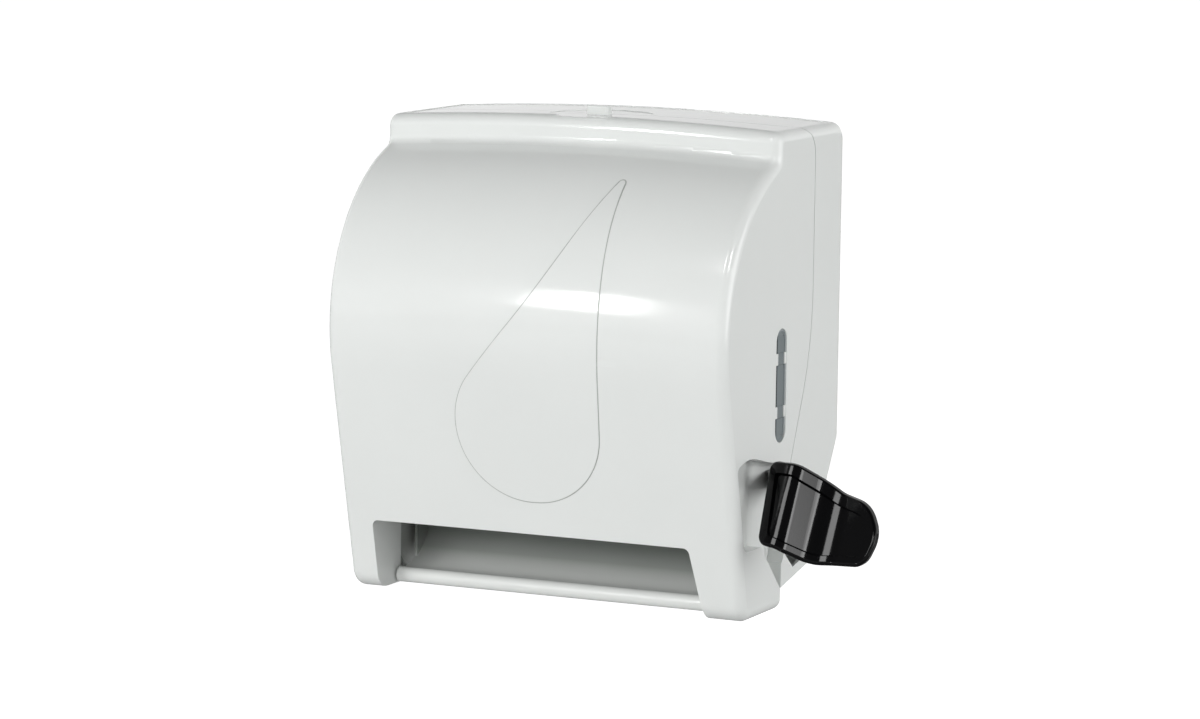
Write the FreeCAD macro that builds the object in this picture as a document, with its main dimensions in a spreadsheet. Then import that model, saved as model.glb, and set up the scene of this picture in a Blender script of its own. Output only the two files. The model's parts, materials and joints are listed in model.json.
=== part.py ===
"""Lever paper towel dispenser: a wall housing, a hinged cover and a lever-driven roller module.

Millimetres. X points to the lever side, -Y to the front, +Z up. Y = 0 is the wall, and the
origin is the centre of the four wall screws.
"""

import FreeCAD, Part
import Sketcher
import math
import os
from types import SimpleNamespace
from FreeCAD import Vector, Placement, Rotation

doc = FreeCAD.newDocument("LeverTowelDispenser")
sheet = doc.addObject("Spreadsheet::Sheet", "sizes")

# ---------------------------------------------------------------- driving dimensions

DRIVING = {
    # housing
    "case_width": 330.0,
    "case_depth": 228.0,
    "case_top": 187.0,
    "case_bottom": -181.0,
    "case_wall": 2.5,
    "back_wall": 3.0,
    "crown_radius": 2478.0,
    "brow_radius": 140.0,
    "brow_height": 32.0,
    "brow_slope": 22.0,
    "front_lean": 13.0,
    "bead_setback": 97.0,
    "bead_radius": 9.0,
    "bead_notch": 7.0,
    "panel_sink": 0.6,
    "panel_ridge": 7.0,
    "thumb_dish_radius": 40.0,
    "thumb_dish_sink": 0.6,
    "rear_radius": 14.0,
    "toe_radius": 16.0,
    "edge_radius": 8.0,
    # drop relief on the cover
    "relief_height": 0.5,
    "relief_left": -60.4,
    "relief_right": 55.6,
    "relief_foot": -99.7,
    "relief_waist_x": 12.0,
    "relief_waist_z": 66.0,
    "relief_tip_x": 58.5,
    "relief_tip_z": 152.0,
    # seam between housing and cover
    "seam_gap": 0.8,
    "seam_bead_distance": 44.0,
    "seam_side_depth": 61.0,
    "seam_leg_depth": 115.0,
    "seam_bend_top": 15.0,
    "seam_bend_bottom": -105.0,
    "seam_sweep_radius": 200.0,
    "seam_elbow_radius": 30.0,
    "seam_shoulder": 171.0,
    "seam_shoulder_radius": 20.0,
    "seam_toe_radius": 7.0,
    # underside of the housing
    "heel_height": -58.5,
    "heel_step": 4.0,
    "shank_depth": 34.0,
    "shank_height": -107.0,
    "keel_depth": 58.0,
    "keel_height": -152.5,
    "keel_front_height": -164.5,
    "keel_lip_depth": 104.0,
    # wall screws
    "screw_span_x": 220.0,
    "screw_span_z": 90.0,
    "screw_hole_radius": 2.75,
    "screw_boss_radius": 9.0,
    "screw_boss_height": 5.0,
    "boss_clearance": 1.0,
    # paper slot
    "slot_left": -141.0,
    "slot_right": 124.0,
    "slot_top": -125.5,
    "slot_flare": 12.0,
    "slot_corner": 5.0,
    "slot_return_depth": 162.0,
    "leg_return_depth": 148.0,
    # cover hinge
    "hinge_inset": 7.0,
    "hinge_height": -171.0,
    "hinge_pin_radius": 2.5,
    "hinge_play": 0.1,
    "ear_radius": 6.5,
    "ear_thickness": 5.0,
    "ear_gap": 2.0,
    # window
    "window_depth": 120.5,
    "window_width": 20.0,
    "window_low": -52.5,
    "window_high": 34.0,
    "lens_thickness": 1.8,
    "lens_flange": 3.0,
    "lens_play": 0.25,
    "lens_tab_reach": 2.4,
    "lens_tab_height": 8.8,
    "lens_tab_high": 11.0,
    "lens_tab_low": -29.3,
    # latch
    "button_width": 18.0,
    "button_thickness": 10.0,
    "button_inset": 8.0,
    "button_rise": 6.0,
    "button_play": 0.35,
    "catch_drop": 4.0,
    "catch_thickness": 2.5,
    "hook_thickness": 3.0,
    "latch_floor_drop": 27.0,
    "latch_spring_wire": 0.7,
    "latch_spring_radius": 3.2,
    # lever recess
    "recess_floor": 152.0,
    "recess_top": -62.0,
    "recess_crown": -56.3,
    "recess_crown_setback": 50.0,
    "recess_fall": -65.0,
    "recess_fall_setback": 88.0,
    "recess_back": -73.5,
    "recess_back_depth": 90.0,
    "recess_bottom": -127.0,
    "recess_edge": 9.0,
    "recess_ramp": 52.0,
    "recess_facet_setback": 74.0,
    "recess_heel_height": -165.0,
    # lever and its gear train
    "lever_depth": 95.0,
    "lever_height": -82.0,
    "lever_shaft_radius": 4.0,
    "shaft_play": 0.05,
    "lever_hub_radius": 8.5,
    "lever_arm_thickness": 11.0,
    "lever_arm_height": 14.0,
    "paddle_lean": 31.5,
    "paddle_thickness": 8.0,
    "paddle_sway": 9.0,
    "paddle_rim": 7.0,
    "paddle_dish": 3.0,
    "paddle_round": 2.2,
    "paddle_inner": 171.0,
    "paddle_top": -61.5,
    "paddle_setback": 76.5,
    "paddle_height": 69.8,
    "paddle_reach": 267.5,
    "paddle_shoulder": 22.0,
    "gear_module": 1.0,
    "sector_teeth": 65.0,
    "pinion_teeth": 13.0,
    "gear_width": 5.0,
    "gear_backlash": 0.15,
    "train_angle": 32.0,
    # roller module
    "plate_thickness": 3.0,
    "plate_gap": 4.0,
    "gear_plate_gap": 2.0,
    "gear_cover_gap": 11.0,
    "drive_radius": 14.0,
    "drive_core_radius": 9.0,
    "drive_shaft_radius": 3.0,
    "pressure_radius": 8.0,
    "pressure_shaft_radius": 2.5,
    "nip_gap": 0.3,
    "nip_angle": 15.0,
    "sleeve_length": 36.0,
    "chute_radius": 50.0,
    "chute_centre_depth": 152.0,
    "chute_centre_height": -120.0,
    "cheek_depth": 128.0,
    "cheek_top": -126.5,
    "chute_thickness": 2.5,
    "chute_play": 2.0,
    "lip_radius": 6.0,
    # towel roll supports
    "roll_width": 254.0,
    "roll_centre_x": -8.5,
    "roll_depth": 113.0,
    "roll_height": 40.0,
    "hub_radius": 18.5,
    "hub_flange_radius": 25.0,
    "hub_flange": 2.5,
    "hub_length": 17.0,
    "arm_thickness": 4.0,
    "arm_tip_radius": 14.0,
    "arm_root_height": 56.0,
}


class Size:
    """A number from the sheet, or worked out from it, with the expression that binds it."""

    def __init__(self, value, text=None):
        self.value = float(value)
        self.text = text if text is not None else repr(float(value))

    def _with(self, sign, other, swap=False):
        other = size(other)
        first, second = (other, self) if swap else (self, other)
        values = {
            "+": lambda a, b: a + b,
            "-": lambda a, b: a - b,
            "*": lambda a, b: a * b,
            "/": lambda a, b: a / b,
        }
        value = values[sign](first.value, second.value)
        return Size(value, "(%s %s %s)" % (first.text, sign, second.text))

    def __add__(self, other):
        return self._with("+", other)

    def __radd__(self, other):
        return self._with("+", other, True)

    def __sub__(self, other):
        return self._with("-", other)

    def __rsub__(self, other):
        return self._with("-", other, True)

    def __mul__(self, other):
        return self._with("*", other)

    def __rmul__(self, other):
        return self._with("*", other, True)

    def __truediv__(self, other):
        return self._with("/", other)

    def __neg__(self):
        return Size(-self.value, "(-%s)" % self.text)


def size(number):
    """Any number as a Size."""
    return number if isinstance(number, Size) else Size(number)


def sine(angle):
    """Sine of an angle in degrees."""
    angle = size(angle)
    return Size(math.sin(math.radians(angle.value)), "sin(%s)" % angle.text)


def cosine(angle):
    """Cosine of an angle in degrees."""
    angle = size(angle)
    return Size(math.cos(math.radians(angle.value)), "cos(%s)" % angle.text)


def tangent(angle):
    """Tangent of an angle in degrees."""
    return sine(angle) / cosine(angle)


def fill_sheet():
    """Write each driving dimension with its alias, and return them by name."""
    named = {}
    for row, (name, value) in enumerate(DRIVING.items(), start=1):
        sheet.set("A%d" % row, name)
        sheet.set("B%d" % row, str(value))
        sheet.setAlias("B%d" % row, name)
        named[name] = Size(value, "sizes.%s" % name)
    doc.recompute()
    return SimpleNamespace(**named)


d = fill_sheet()
d.bead_depth = d.case_depth - d.bead_setback
d.recess_crown_depth = d.case_depth - d.recess_crown_setback
d.recess_fall_depth = d.case_depth - d.recess_fall_setback
d.recess_facet_depth = d.case_depth - d.recess_facet_setback
d.paddle_top_depth = d.case_depth - d.paddle_setback
d.seam_top_depth = d.bead_depth - d.seam_bead_distance
d.button_depth = d.seam_top_depth + d.button_inset
d.hinge_depth = d.seam_leg_depth + d.hinge_inset
PARTS = []

# ---------------------------------------------------------------- drawing helpers


def bind(target, path, number):
    """Bind one property to the sheet."""
    target.setExpression(path, size(number).text)


def new_body(name, is_part=True):
    """Start a body; parts are exported under their label."""
    body = doc.addObject("PartDesign::Body", name)
    body.Label = name
    body.Placement = Placement()
    if is_part:
        PARTS.append(body)
    return body


def new_sketch(body, name, role, shift):
    """Attach a sketch to one of the body's origin planes, moved along its normal."""
    sketch = body.newObject("Sketcher::SketchObject", name)
    plane = [part for part in body.Origin.OriginFeatures if part.Role == role][0]
    sketch.AttachmentSupport = [(plane, "")]
    sketch.MapMode = "FlatFace"
    bind(sketch, "AttachmentOffset.Base.z", shift)
    return sketch


def pin_down(sketch, geometry, point, x, y):
    """Constrain one point of the geometry to its place."""
    for kind, number in (("DistanceX", x), ("DistanceY", y)):
        number = size(number)
        index = sketch.addConstraint(Sketcher.Constraint(kind, -1, 1, geometry, point, number.value))
        bind(sketch, "Constraints[%d]" % index, number)


def outline(sketch, corners):
    """Draw a closed outline; each corner is (x, y) or (x, y, radius)."""
    count = len(corners)
    places = [Vector(size(corner[0]).value, size(corner[1]).value, 0) for corner in corners]
    radii = [size(corner[2]) if len(corner) > 2 else None for corner in corners]
    starts, ends = [], []
    for index in range(count):
        here = places[index]
        back = (places[index - 1] - here).normalize()
        ahead = (places[(index + 1) % count] - here).normalize()
        reach = 0.0
        if radii[index]:
            reach = radii[index].value / math.tan(back.getAngle(ahead) / 2)
        ends.append(here + back * reach)
        starts.append(here + ahead * reach)
    first = sketch.GeometryCount
    for index in range(count):
        following = (index + 1) % count
        sketch.addGeometry(Part.LineSegment(starts[index], ends[following]), False)
    for index in range(count):
        before = first + (index - 1) % count
        after = first + index
        if not radii[index]:
            sketch.addConstraint(Sketcher.Constraint("Coincident", before, 2, after, 1))
            pin_down(sketch, after, 1, corners[index][0], corners[index][1])
            continue
        round_corner(sketch, before, after, places[index], ends[index], starts[index], corners[index])


def round_corner(sketch, before, after, place, end, start, corner):
    """Join two lines by a tangent arc and hold the sharp corner that it rounds."""
    radius = size(corner[2])
    turn = (place - end).cross(start - place).z
    middle = (start + end) * 0.5
    half = (start - end).Length / 2
    outward = (middle - place).normalize()
    centre = middle + outward * math.sqrt(max(radius.value ** 2 - half ** 2, 0))
    first, last = (end, start) if turn > 0 else (start, end)
    angles = [math.atan2(point.y - centre.y, point.x - centre.x) for point in (first, last)]
    circle = Part.Circle(centre, Vector(0, 0, 1), radius.value)
    arc = sketch.addGeometry(Part.ArcOfCircle(circle, angles[0], angles[1]), False)
    point = sketch.addGeometry(Part.Point(place), True)
    joins = (1, 2) if turn > 0 else (2, 1)
    sketch.addConstraint(Sketcher.Constraint("Tangent", before, 2, arc, joins[0]))
    sketch.addConstraint(Sketcher.Constraint("Tangent", arc, joins[1], after, 1))
    sketch.addConstraint(Sketcher.Constraint("PointOnObject", point, 1, before))
    sketch.addConstraint(Sketcher.Constraint("PointOnObject", point, 1, after))
    pin_down(sketch, point, 1, corner[0], corner[1])
    index = sketch.addConstraint(Sketcher.Constraint("Radius", arc, radius.value))
    bind(sketch, "Constraints[%d]" % index, radius)


def circle(sketch, x, y, radius):
    """Draw a circle at its place."""
    place = Vector(size(x).value, size(y).value, 0)
    number = sketch.addGeometry(Part.Circle(place, Vector(0, 0, 1), size(radius).value), False)
    pin_down(sketch, number, 3, x, y)
    index = sketch.addConstraint(Sketcher.Constraint("Radius", number, size(radius).value))
    bind(sketch, "Constraints[%d]" % index, radius)


def draw(sketch, loops):
    """Draw outlines (lists of corners) and circles (tuples of x, y, radius)."""
    for loop in loops:
        if isinstance(loop, tuple):
            circle(sketch, *loop)
        else:
            outline(sketch, loop)


def rectangle(x_low, x_high, y_low, y_high, radius=None):
    """Corners of a rectangle, rounded where a radius is given."""
    corners = [(x_low, y_low), (x_high, y_low), (x_high, y_high), (x_low, y_high)]
    return [corner + (radius,) for corner in corners] if radius is not None else corners


def slab(body, kind, name, role, low, high, loops):
    """Pad or pocket the loops between two coordinates along the plane's axis."""
    low, high = size(low), size(high)
    shift = -high if role == "XZ_Plane" else low
    sketch = new_sketch(body, name + "_sketch", role, shift)
    draw(sketch, loops)
    feature = body.newObject("PartDesign::" + kind, name)
    feature.Profile = sketch
    feature.Reversed = kind == "Pocket"
    feature.Type = "Length"
    bind(feature, "Length", high - low)
    doc.recompute()
    return feature


def add(body, name, role, low, high, loops):
    """Pad the loops between two coordinates."""
    return slab(body, "Pad", name, role, low, high, loops)


def cut(body, name, role, low, high, loops):
    """Pocket the loops between two coordinates."""
    return slab(body, "Pocket", name, role, low, high, loops)


def round_edges(body, name, radius, test):
    """Fillet the edges of the body's last feature that pass the test.

    The kernel can stumble over one exact radius, so a hair more or less is tried then.
    """
    base = body.Tip
    chosen = ["Edge%d" % (k + 1) for k, edge in enumerate(base.Shape.Edges) if test(edge)]
    fillet = body.newObject("PartDesign::Fillet", name)
    fillet.Base = (base, chosen)
    for hair in (0.0, -0.03, 0.03, -0.08, 0.08, -0.15):
        bind(fillet, "Radius", size(radius) + hair)
        doc.recompute()
        if fillet.isValid() and fillet.Shape.isValid():
            break
    return fillet


def take_away(body, name, others):
    """Cut other bodies out of this one."""
    boolean = body.newObject("PartDesign::Boolean", name)
    boolean.Type = "Cut"
    boolean.setObjects(others)
    doc.recompute()
    return boolean


def join(body, name, others):
    """Fuse other bodies to this one."""
    boolean = body.newObject("PartDesign::Boolean", name)
    boolean.Type = "Fuse"
    boolean.setObjects(others)
    doc.recompute()
    return boolean


# ---------------------------------------------------------------- outer form of the case

FAR = 400.0
HALF_WIDTH = d.case_width / 2


def case_arch(body, inset, rear_inset):
    """The case's side profile swept along its shallow arch, drawn in by the inset."""
    radius = d.brow_radius - inset
    centre_y = d.brow_radius - d.case_depth
    half_turn = (d.front_lean + 90.0 - d.brow_slope) / 2
    facing = 180.0 + d.front_lean - half_turn
    brow_y = centre_y + radius / cosine(half_turn) * cosine(facing)
    brow_z = d.brow_height + radius / cosine(half_turn) * sine(facing)
    low = d.case_bottom - 30.0
    top = d.case_top - inset
    bead = inset - d.bead_depth
    corners = [
        (-rear_inset, low),
        (-rear_inset, top, d.rear_radius - inset),
        (bead, top, d.bead_radius - inset / 2),
        (bead, brow_z + (bead - brow_y) * tangent(d.brow_slope), d.bead_notch + inset),
        (brow_y, brow_z, radius),
        (brow_y + (brow_z - low) * tangent(d.front_lean), low),
    ]
    profile = new_sketch(body, body.Name + "_profile", "YZ_Plane", 0.0)
    outline(profile, corners)
    axis_height = d.case_top - d.crown_radius
    axis = profile.addGeometry(
        Part.LineSegment(Vector(0, axis_height.value, 0), Vector(-100, axis_height.value, 0)), True)
    pin_down(profile, axis, 1, 0.0, axis_height)
    pin_down(profile, axis, 2, -100.0, axis_height)
    arch = body.newObject("PartDesign::Revolution", body.Name + "_arch")
    arch.Profile = profile
    arch.ReferenceAxis = (profile, ["Axis0"])
    arch.Midplane = True
    bind(arch, "Angle", d.case_width / d.crown_radius * 75.0)
    doc.recompute()


def case_form(body, inset, rear_inset):
    """The arched, filleted form of the closed case, drawn in by the inset."""
    case_arch(body, inset, rear_inset)
    side = HALF_WIDTH - inset
    bottom = d.case_bottom + inset
    keep = rectangle(-side, side, bottom, d.case_top + 50.0)
    cut(body, body.Name + "_trim", "XZ_Plane", -FAR, 50.0, [rectangle(-FAR, FAR, -FAR, FAR), keep])
    round_edges(body, body.Name + "_toe", d.toe_radius - inset, lambda edge:
                edge.BoundBox.XLength > side.value
                and abs(edge.CenterOfMass.z - bottom.value) < 0.5
                and edge.CenterOfMass.y < -50)
    round_edges(body, body.Name + "_ends", d.edge_radius - inset, lambda edge:
                edge.BoundBox.XLength < 0.02
                and abs(abs(edge.CenterOfMass.x) - side.value) < 0.01
                and abs(edge.CenterOfMass.y + size(rear_inset).value) > 0.1)


def seam_corners(shift):
    """Side outline of everything behind the seam, moved back by the shift."""
    side = shift - d.seam_side_depth
    leg = shift - d.seam_leg_depth
    top = shift - d.seam_top_depth
    return [
        (leg - 30.0, d.case_bottom, ),
        (leg, d.case_bottom, d.seam_toe_radius),
        (leg, d.seam_bend_bottom, d.seam_elbow_radius),
        (side, d.seam_bend_top, d.seam_sweep_radius),
        (side, d.seam_shoulder, d.seam_shoulder_radius),
        (top, d.case_top, 3.0),
        (top, d.case_top + 40.0),
        (80.0, d.case_top + 40.0),
        (80.0, d.case_bottom - 60.0),
        (leg - 30.0, d.case_bottom - 60.0),
    ]


def recess_front():
    """Depth of the recess's front edge at the height of the origin."""
    lean = tangent(d.front_lean)
    front = -d.case_depth + d.brow_radius - d.brow_radius / cosine(d.front_lean)
    return front + d.brow_height * lean + d.recess_edge


def recess_corners(grow):
    """Side outline of the lever's scoop in the cover, grown for the pan around it."""
    lean = tangent(d.front_lean)
    front = recess_front() - grow
    top = d.recess_top + grow
    bottom = d.recess_bottom - grow
    return [
        (front - top * lean, top, 5.0),
        (front - bottom * lean, bottom, 8.0),
        (-d.recess_facet_depth - grow, bottom, 4.0),
        (-d.seam_leg_depth, d.recess_heel_height - grow),
        (-d.recess_back_depth, d.recess_heel_height - grow),
        (-d.recess_back_depth, d.recess_back + grow),
        (-d.recess_fall_depth, d.recess_fall + grow, 40.0),
        (-d.recess_crown_depth, d.recess_crown + grow, 60.0),
    ]


def recess_form(name, grow):
    """The scoop: its side outline, with a floor that ramps in from the front."""
    form = new_body(name, False)
    front = recess_front() - d.recess_top * tangent(d.front_lean) - grow
    floor = d.recess_floor - grow
    plan = [
        (HALF_WIDTH + d.recess_edge, front),
        (HALF_WIDTH, front),
        (floor, front + d.recess_ramp, 60.0),
        (floor, -d.recess_back_depth),
        (HALF_WIDTH + d.recess_edge, -d.recess_back_depth),
    ]
    low = d.recess_heel_height - d.recess_edge
    add(form, name + "_plan", "XY_Plane", low, d.recess_crown + d.recess_edge, [plan])
    border = rectangle(-FAR, FAR, -FAR, FAR)
    cut(form, name + "_side", "YZ_Plane", 0.0, FAR, [border, recess_corners(grow)])
    return form


def hinge_ears():
    """X ranges of the cover's ears, outside the two side plates."""
    right = d.slot_right + d.plate_gap + d.plate_thickness + d.ear_gap
    left = d.slot_left - d.plate_gap - d.plate_thickness - d.ear_gap
    return [(right, right + d.ear_thickness), (left - d.ear_thickness, left)]


def window_outline(grow):
    """Rounded upright slot of the level window in the cover's side."""
    half = d.window_width / 2 + grow
    return rectangle(-d.window_depth - half, -d.window_depth + half,
                     d.window_low - grow, d.window_high + grow, half - 0.01)


def lens_tabs(grow):
    """The four clips that hold the lens at the window's long edges."""
    near = -d.window_depth - d.window_width / 2
    far = -d.window_depth + d.window_width / 2
    half = d.lens_tab_height / 2 + grow
    loops = []
    for z in (d.lens_tab_low, d.lens_tab_high):
        loops.append(rectangle(near - 1.0, near + d.lens_tab_reach + grow, z - half, z + half))
        loops.append(rectangle(far - d.lens_tab_reach - grow, far + 1.0, z - half, z + half))
    return loops


def revolved_cut(body, name, role, corners, axis, angle):
    """Groove an outline about the line between two points of its sketch, half to each side."""
    sketch = new_sketch(body, name + "_sketch", role, 0.0)
    outline(sketch, corners)
    first, last = [Vector(size(y).value, size(z).value, 0) for y, z in axis]
    line = sketch.addGeometry(Part.LineSegment(first, last), True)
    pin_down(sketch, line, 1, *axis[0])
    pin_down(sketch, line, 2, *axis[1])
    groove = body.newObject("PartDesign::Groove", name)
    groove.Profile = sketch
    groove.ReferenceAxis = (sketch, ["Axis0"])
    groove.Midplane = True
    bind(groove, "Angle", angle)
    doc.recompute()
    return groove


def sink_panel(body):
    """Sink the top behind the bead, between the two side ridges."""
    centre = d.case_top - d.crown_radius
    front = -d.bead_depth + d.bead_radius
    back = -d.rear_radius
    high = d.case_top + 2.0
    corners = rectangle(front, back, d.case_top - d.panel_sink, high)
    angle = (HALF_WIDTH - d.panel_ridge) / d.crown_radius * 114.59
    revolved_cut(body, body.Name + "_panel", "YZ_Plane", corners,
                 [(0.0, centre), (-100.0, centre)], angle)
    dish = (0.0, -d.button_depth + d.button_inset / 2, d.thumb_dish_radius)
    low = d.case_top - d.panel_sink - d.thumb_dish_sink
    cut(body, body.Name + "_thumb_dish", "XY_Plane", low, high, [dish])


def relief_outline():
    """Front outline of the drop: a round belly under two long flanks that meet in a tip."""
    belly = (d.relief_right - d.relief_left) / 2 - 0.02
    flank = d.relief_foot + 1.37 * belly
    return [
        (d.relief_tip_x, d.relief_tip_z, 3.0),
        (d.relief_waist_x, d.relief_waist_z, 7 * belly),
        (d.relief_left, flank, belly),
        (d.relief_left, d.relief_foot, belly),
        (d.relief_right, d.relief_foot, belly),
        (d.relief_tip_x + 4.5, d.relief_foot + 2.41 * belly, 15 * belly),
    ]


def raise_relief(cover):
    """Raise the drop a little above the cover's front."""
    inside = new_body("relief_core", False)
    case_arch(inside, d.case_wall / 2, 0.0)
    relief = new_body("relief_panel", False)
    case_arch(relief, -d.relief_height, 0.0)
    border = rectangle(-FAR, FAR, -FAR, FAR)
    cut(relief, "relief_side", "XZ_Plane", -FAR, FAR, [border, relief_outline()])
    round_edges(relief, "relief_rim", 0.8 * d.relief_height, lambda edge:
                edge.CenterOfMass.y < -100 and edge.BoundBox.DiagonalLength > 1.0
                and (edge.BoundBox.XLength > 0.01 or edge.BoundBox.ZLength > 0.01))
    take_away(relief, "relief_hollow", [inside])
    join(cover, "relief", [relief])


def make_front_cover():
    """Moulded cover with the brow bead, legs beside the slot, lever scoop and window."""
    cavity = new_body("cover_cavity", False)
    case_form(cavity, d.case_wall, d.back_wall)
    wall = d.case_wall
    low = d.case_bottom - 20.0
    surround = [
        (d.slot_left - wall, low),
        (d.slot_right + wall + d.slot_flare, low),
        (d.slot_right + wall, d.slot_top + wall, d.slot_corner + wall),
        (d.slot_left - wall, d.slot_top + wall, d.slot_corner + wall),
    ]
    cut(cavity, "slot_surround", "XZ_Plane", -FAR, -d.slot_return_depth, [surround])
    leg_wall = rectangle(d.slot_left - wall, d.slot_left, low, d.cheek_top)
    cut(cavity, "leg_wall", "XZ_Plane", -FAR, -d.leg_return_depth, [leg_wall])
    take_away(cavity, "recess_pan", [recess_form("recess_outer", wall)])
    hinge_y = -d.hinge_depth
    for number, (near, far) in enumerate(hinge_ears()):
        ring = (hinge_y, d.hinge_height, d.ear_radius)
        cut(cavity, "ear_ring_%d" % number, "YZ_Plane", near, far, [ring])
        web = [
            (hinge_y + d.ear_radius * 0.7, d.hinge_height - d.ear_radius * 0.7),
            (hinge_y, d.case_bottom - 5.0),
            (hinge_y - 50.0, d.case_bottom - 5.0),
            (hinge_y - 50.0, d.case_bottom + 5.0),
            (hinge_y - d.ear_radius * 0.7, d.hinge_height + d.ear_radius * 0.7),
        ]
        cut(cavity, "ear_web_%d" % number, "YZ_Plane", near, far, [web])
    cover = new_body("front_cover")
    case_form(cover, size(0.0), size(0.0))
    take_away(cover, "cover_hollow", [cavity])
    cut(cover, "seam", "YZ_Plane", -FAR, FAR, [seam_corners(size(0.0))])
    notch = [
        (d.slot_left, low),
        (d.slot_right + d.slot_flare, low),
        (d.slot_right, d.slot_top, d.slot_corner),
        (d.slot_left, d.slot_top, d.slot_corner),
    ]
    cut(cover, "slot", "XZ_Plane", -FAR, 0.0, [notch])
    take_away(cover, "recess", [recess_form("recess_inner", size(0.0))])
    cut(cover, "window", "YZ_Plane", HALF_WIDTH - 2 * wall, FAR, [window_outline(size(0.0))])
    add(cover, "lens_tabs", "YZ_Plane", HALF_WIDTH - wall, HALF_WIDTH - wall / 5, lens_tabs(size(0.0)))
    pin = (hinge_y, d.hinge_height, d.hinge_pin_radius + d.hinge_play)
    for number, (near, far) in enumerate(hinge_ears()):
        cut(cover, "pin_bore_%d" % number, "YZ_Plane", near - 0.5, far + 0.5, [pin])
    half_x = d.button_width / 2 + d.button_play
    half_y = d.button_thickness / 2 + d.button_play
    button = rectangle(-half_x, half_x, -d.button_depth - half_y, -d.button_depth + half_y, 2.5)
    sink_panel(cover)
    cut(cover, "button_hole", "XY_Plane", d.case_top - 3 * wall, d.case_top + 20.0, [button])
    raise_relief(cover)
    return cover


def keel_corners(shift):
    """Side outline of everything under the housing, drawn in by the shift."""
    return [
        (60.0, d.heel_height + shift),
        (-d.heel_step - shift, d.heel_height + shift, 3.0),
        (-d.shank_depth - shift, d.shank_height + shift, 20.0),
        (-d.keel_depth - shift, d.keel_height + shift, 12.0),
        (-d.seam_leg_depth - shift, d.keel_front_height + shift),
        (-FAR, d.keel_front_height + shift),
        (-FAR, d.case_bottom - 90.0),
        (60.0, d.case_bottom - 90.0),
    ]


def hub_scoop(grow):
    """Side outline of the lever hub's recess in the housing."""
    y = -d.lever_depth
    z = d.lever_height
    reach = d.lever_hub_radius + 3.0 + grow
    fall = (d.recess_fall - d.recess_back) / (d.recess_fall_depth - d.recess_back_depth)
    top = d.recess_back + (d.recess_back_depth - d.lever_depth + reach) * -fall + grow
    foot = d.keel_height + 6.0 - grow
    return [
        (-d.recess_fall_depth, d.recess_fall + grow),
        (y + reach, top, 9.0 + grow),
        (y + reach, z - 0.45 * reach, 8.0),
        (-d.seam_leg_depth + 0.2 * reach, foot, 6.0),
        (-d.recess_fall_depth, foot),
    ]


def wall_screws():
    """Places of the four wall screws."""
    return [(x * d.screw_span_x / 2, z * d.screw_span_z / 2) for x in (-1, 1) for z in (-1, 1)]


def leave_screw_room(body):
    """Notch a part that stands on the back wall clear of the screw bosses."""
    room = d.screw_boss_radius + d.boss_clearance
    bosses = [(x, z, room) for x, z in wall_screws()]
    reach = -d.back_wall - d.screw_boss_height - d.boss_clearance
    cut(body, "screw_room", "XZ_Plane", reach, 0.0, bosses)


def make_back_body():
    """Moulded rear housing that hangs on the wall and carries everything else."""
    cavity = new_body("back_cavity", False)
    case_form(cavity, d.case_wall, d.back_wall)
    cut(cavity, "keel_floor", "YZ_Plane", -FAR, FAR, [keel_corners(d.case_wall)])
    cut(cavity, "hub_pan", "YZ_Plane", d.recess_floor - d.case_wall, FAR, [hub_scoop(d.case_wall)])
    bosses = [(x, z, d.screw_boss_radius) for x, z in wall_screws()]
    cut(cavity, "screw_bosses", "XZ_Plane", -d.back_wall - d.screw_boss_height, 0.0, bosses)
    back = new_body("back_body")
    case_form(back, size(0.0), size(0.0))
    take_away(back, "back_hollow", [cavity])
    front = [(y, z) + tuple(rest) for y, z, *rest in seam_corners(d.seam_gap)]
    front[6:] = [(front[6][0], front[6][1]), (-FAR, front[6][1]), (-FAR, d.case_bottom - 60.0)]
    front[0] = (front[1][0], d.case_bottom - 60.0)
    del front[1]
    cut(back, "front_opening", "YZ_Plane", -FAR, FAR, [front])
    cut(back, "keel", "YZ_Plane", -FAR, FAR, [keel_corners(size(0.0))])
    cut(back, "hub_recess", "YZ_Plane", d.recess_floor, FAR, [hub_scoop(size(0.0))])
    inside = HALF_WIDTH - d.case_wall
    keel_mouth = rectangle(-inside, inside, d.case_bottom, d.keel_height + 6.0)
    cut(back, "keel_mouth", "XZ_Plane", -d.seam_leg_depth - 5.0, -d.keel_lip_depth, [keel_mouth])
    seam = d.seam_gap - d.seam_leg_depth
    ledge = [
        (d.recess_floor - d.case_wall, d.keel_front_height + 1.0),
        (inside + 1.0, d.keel_front_height + 1.0),
        (inside + 1.0, d.keel_height + 7.0),
        (d.recess_floor - d.case_wall, d.keel_height + 7.0),
    ]
    add(back, "recess_ledge", "XZ_Plane", seam, seam + d.case_wall, [ledge])
    slot = [
        (-d.seam_leg_depth + 6.6, d.keel_height + 14.1),
        (-d.seam_leg_depth + 24.0, d.keel_height + 0.5),
        (-d.seam_leg_depth + 49.0, d.keel_height + 6.0),
        (-d.seam_leg_depth + 49.0, d.keel_height + 14.1),
    ]
    cut(back, "arm_slot", "YZ_Plane", d.recess_floor + 1.0, FAR, [slot])
    holes = [(x, z, d.screw_hole_radius) for x, z in wall_screws()]
    cut(back, "screw_holes", "XZ_Plane", -4 * d.back_wall, 1.0, holes)
    sink_panel(back)
    shaft = (-d.lever_depth, d.lever_height, d.lever_shaft_radius + 1.5)
    cut(back, "shaft_hole", "YZ_Plane", d.recess_floor - 2 * d.case_wall, FAR, [shaft])
    return back


# ---------------------------------------------------------------- cover fittings


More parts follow.
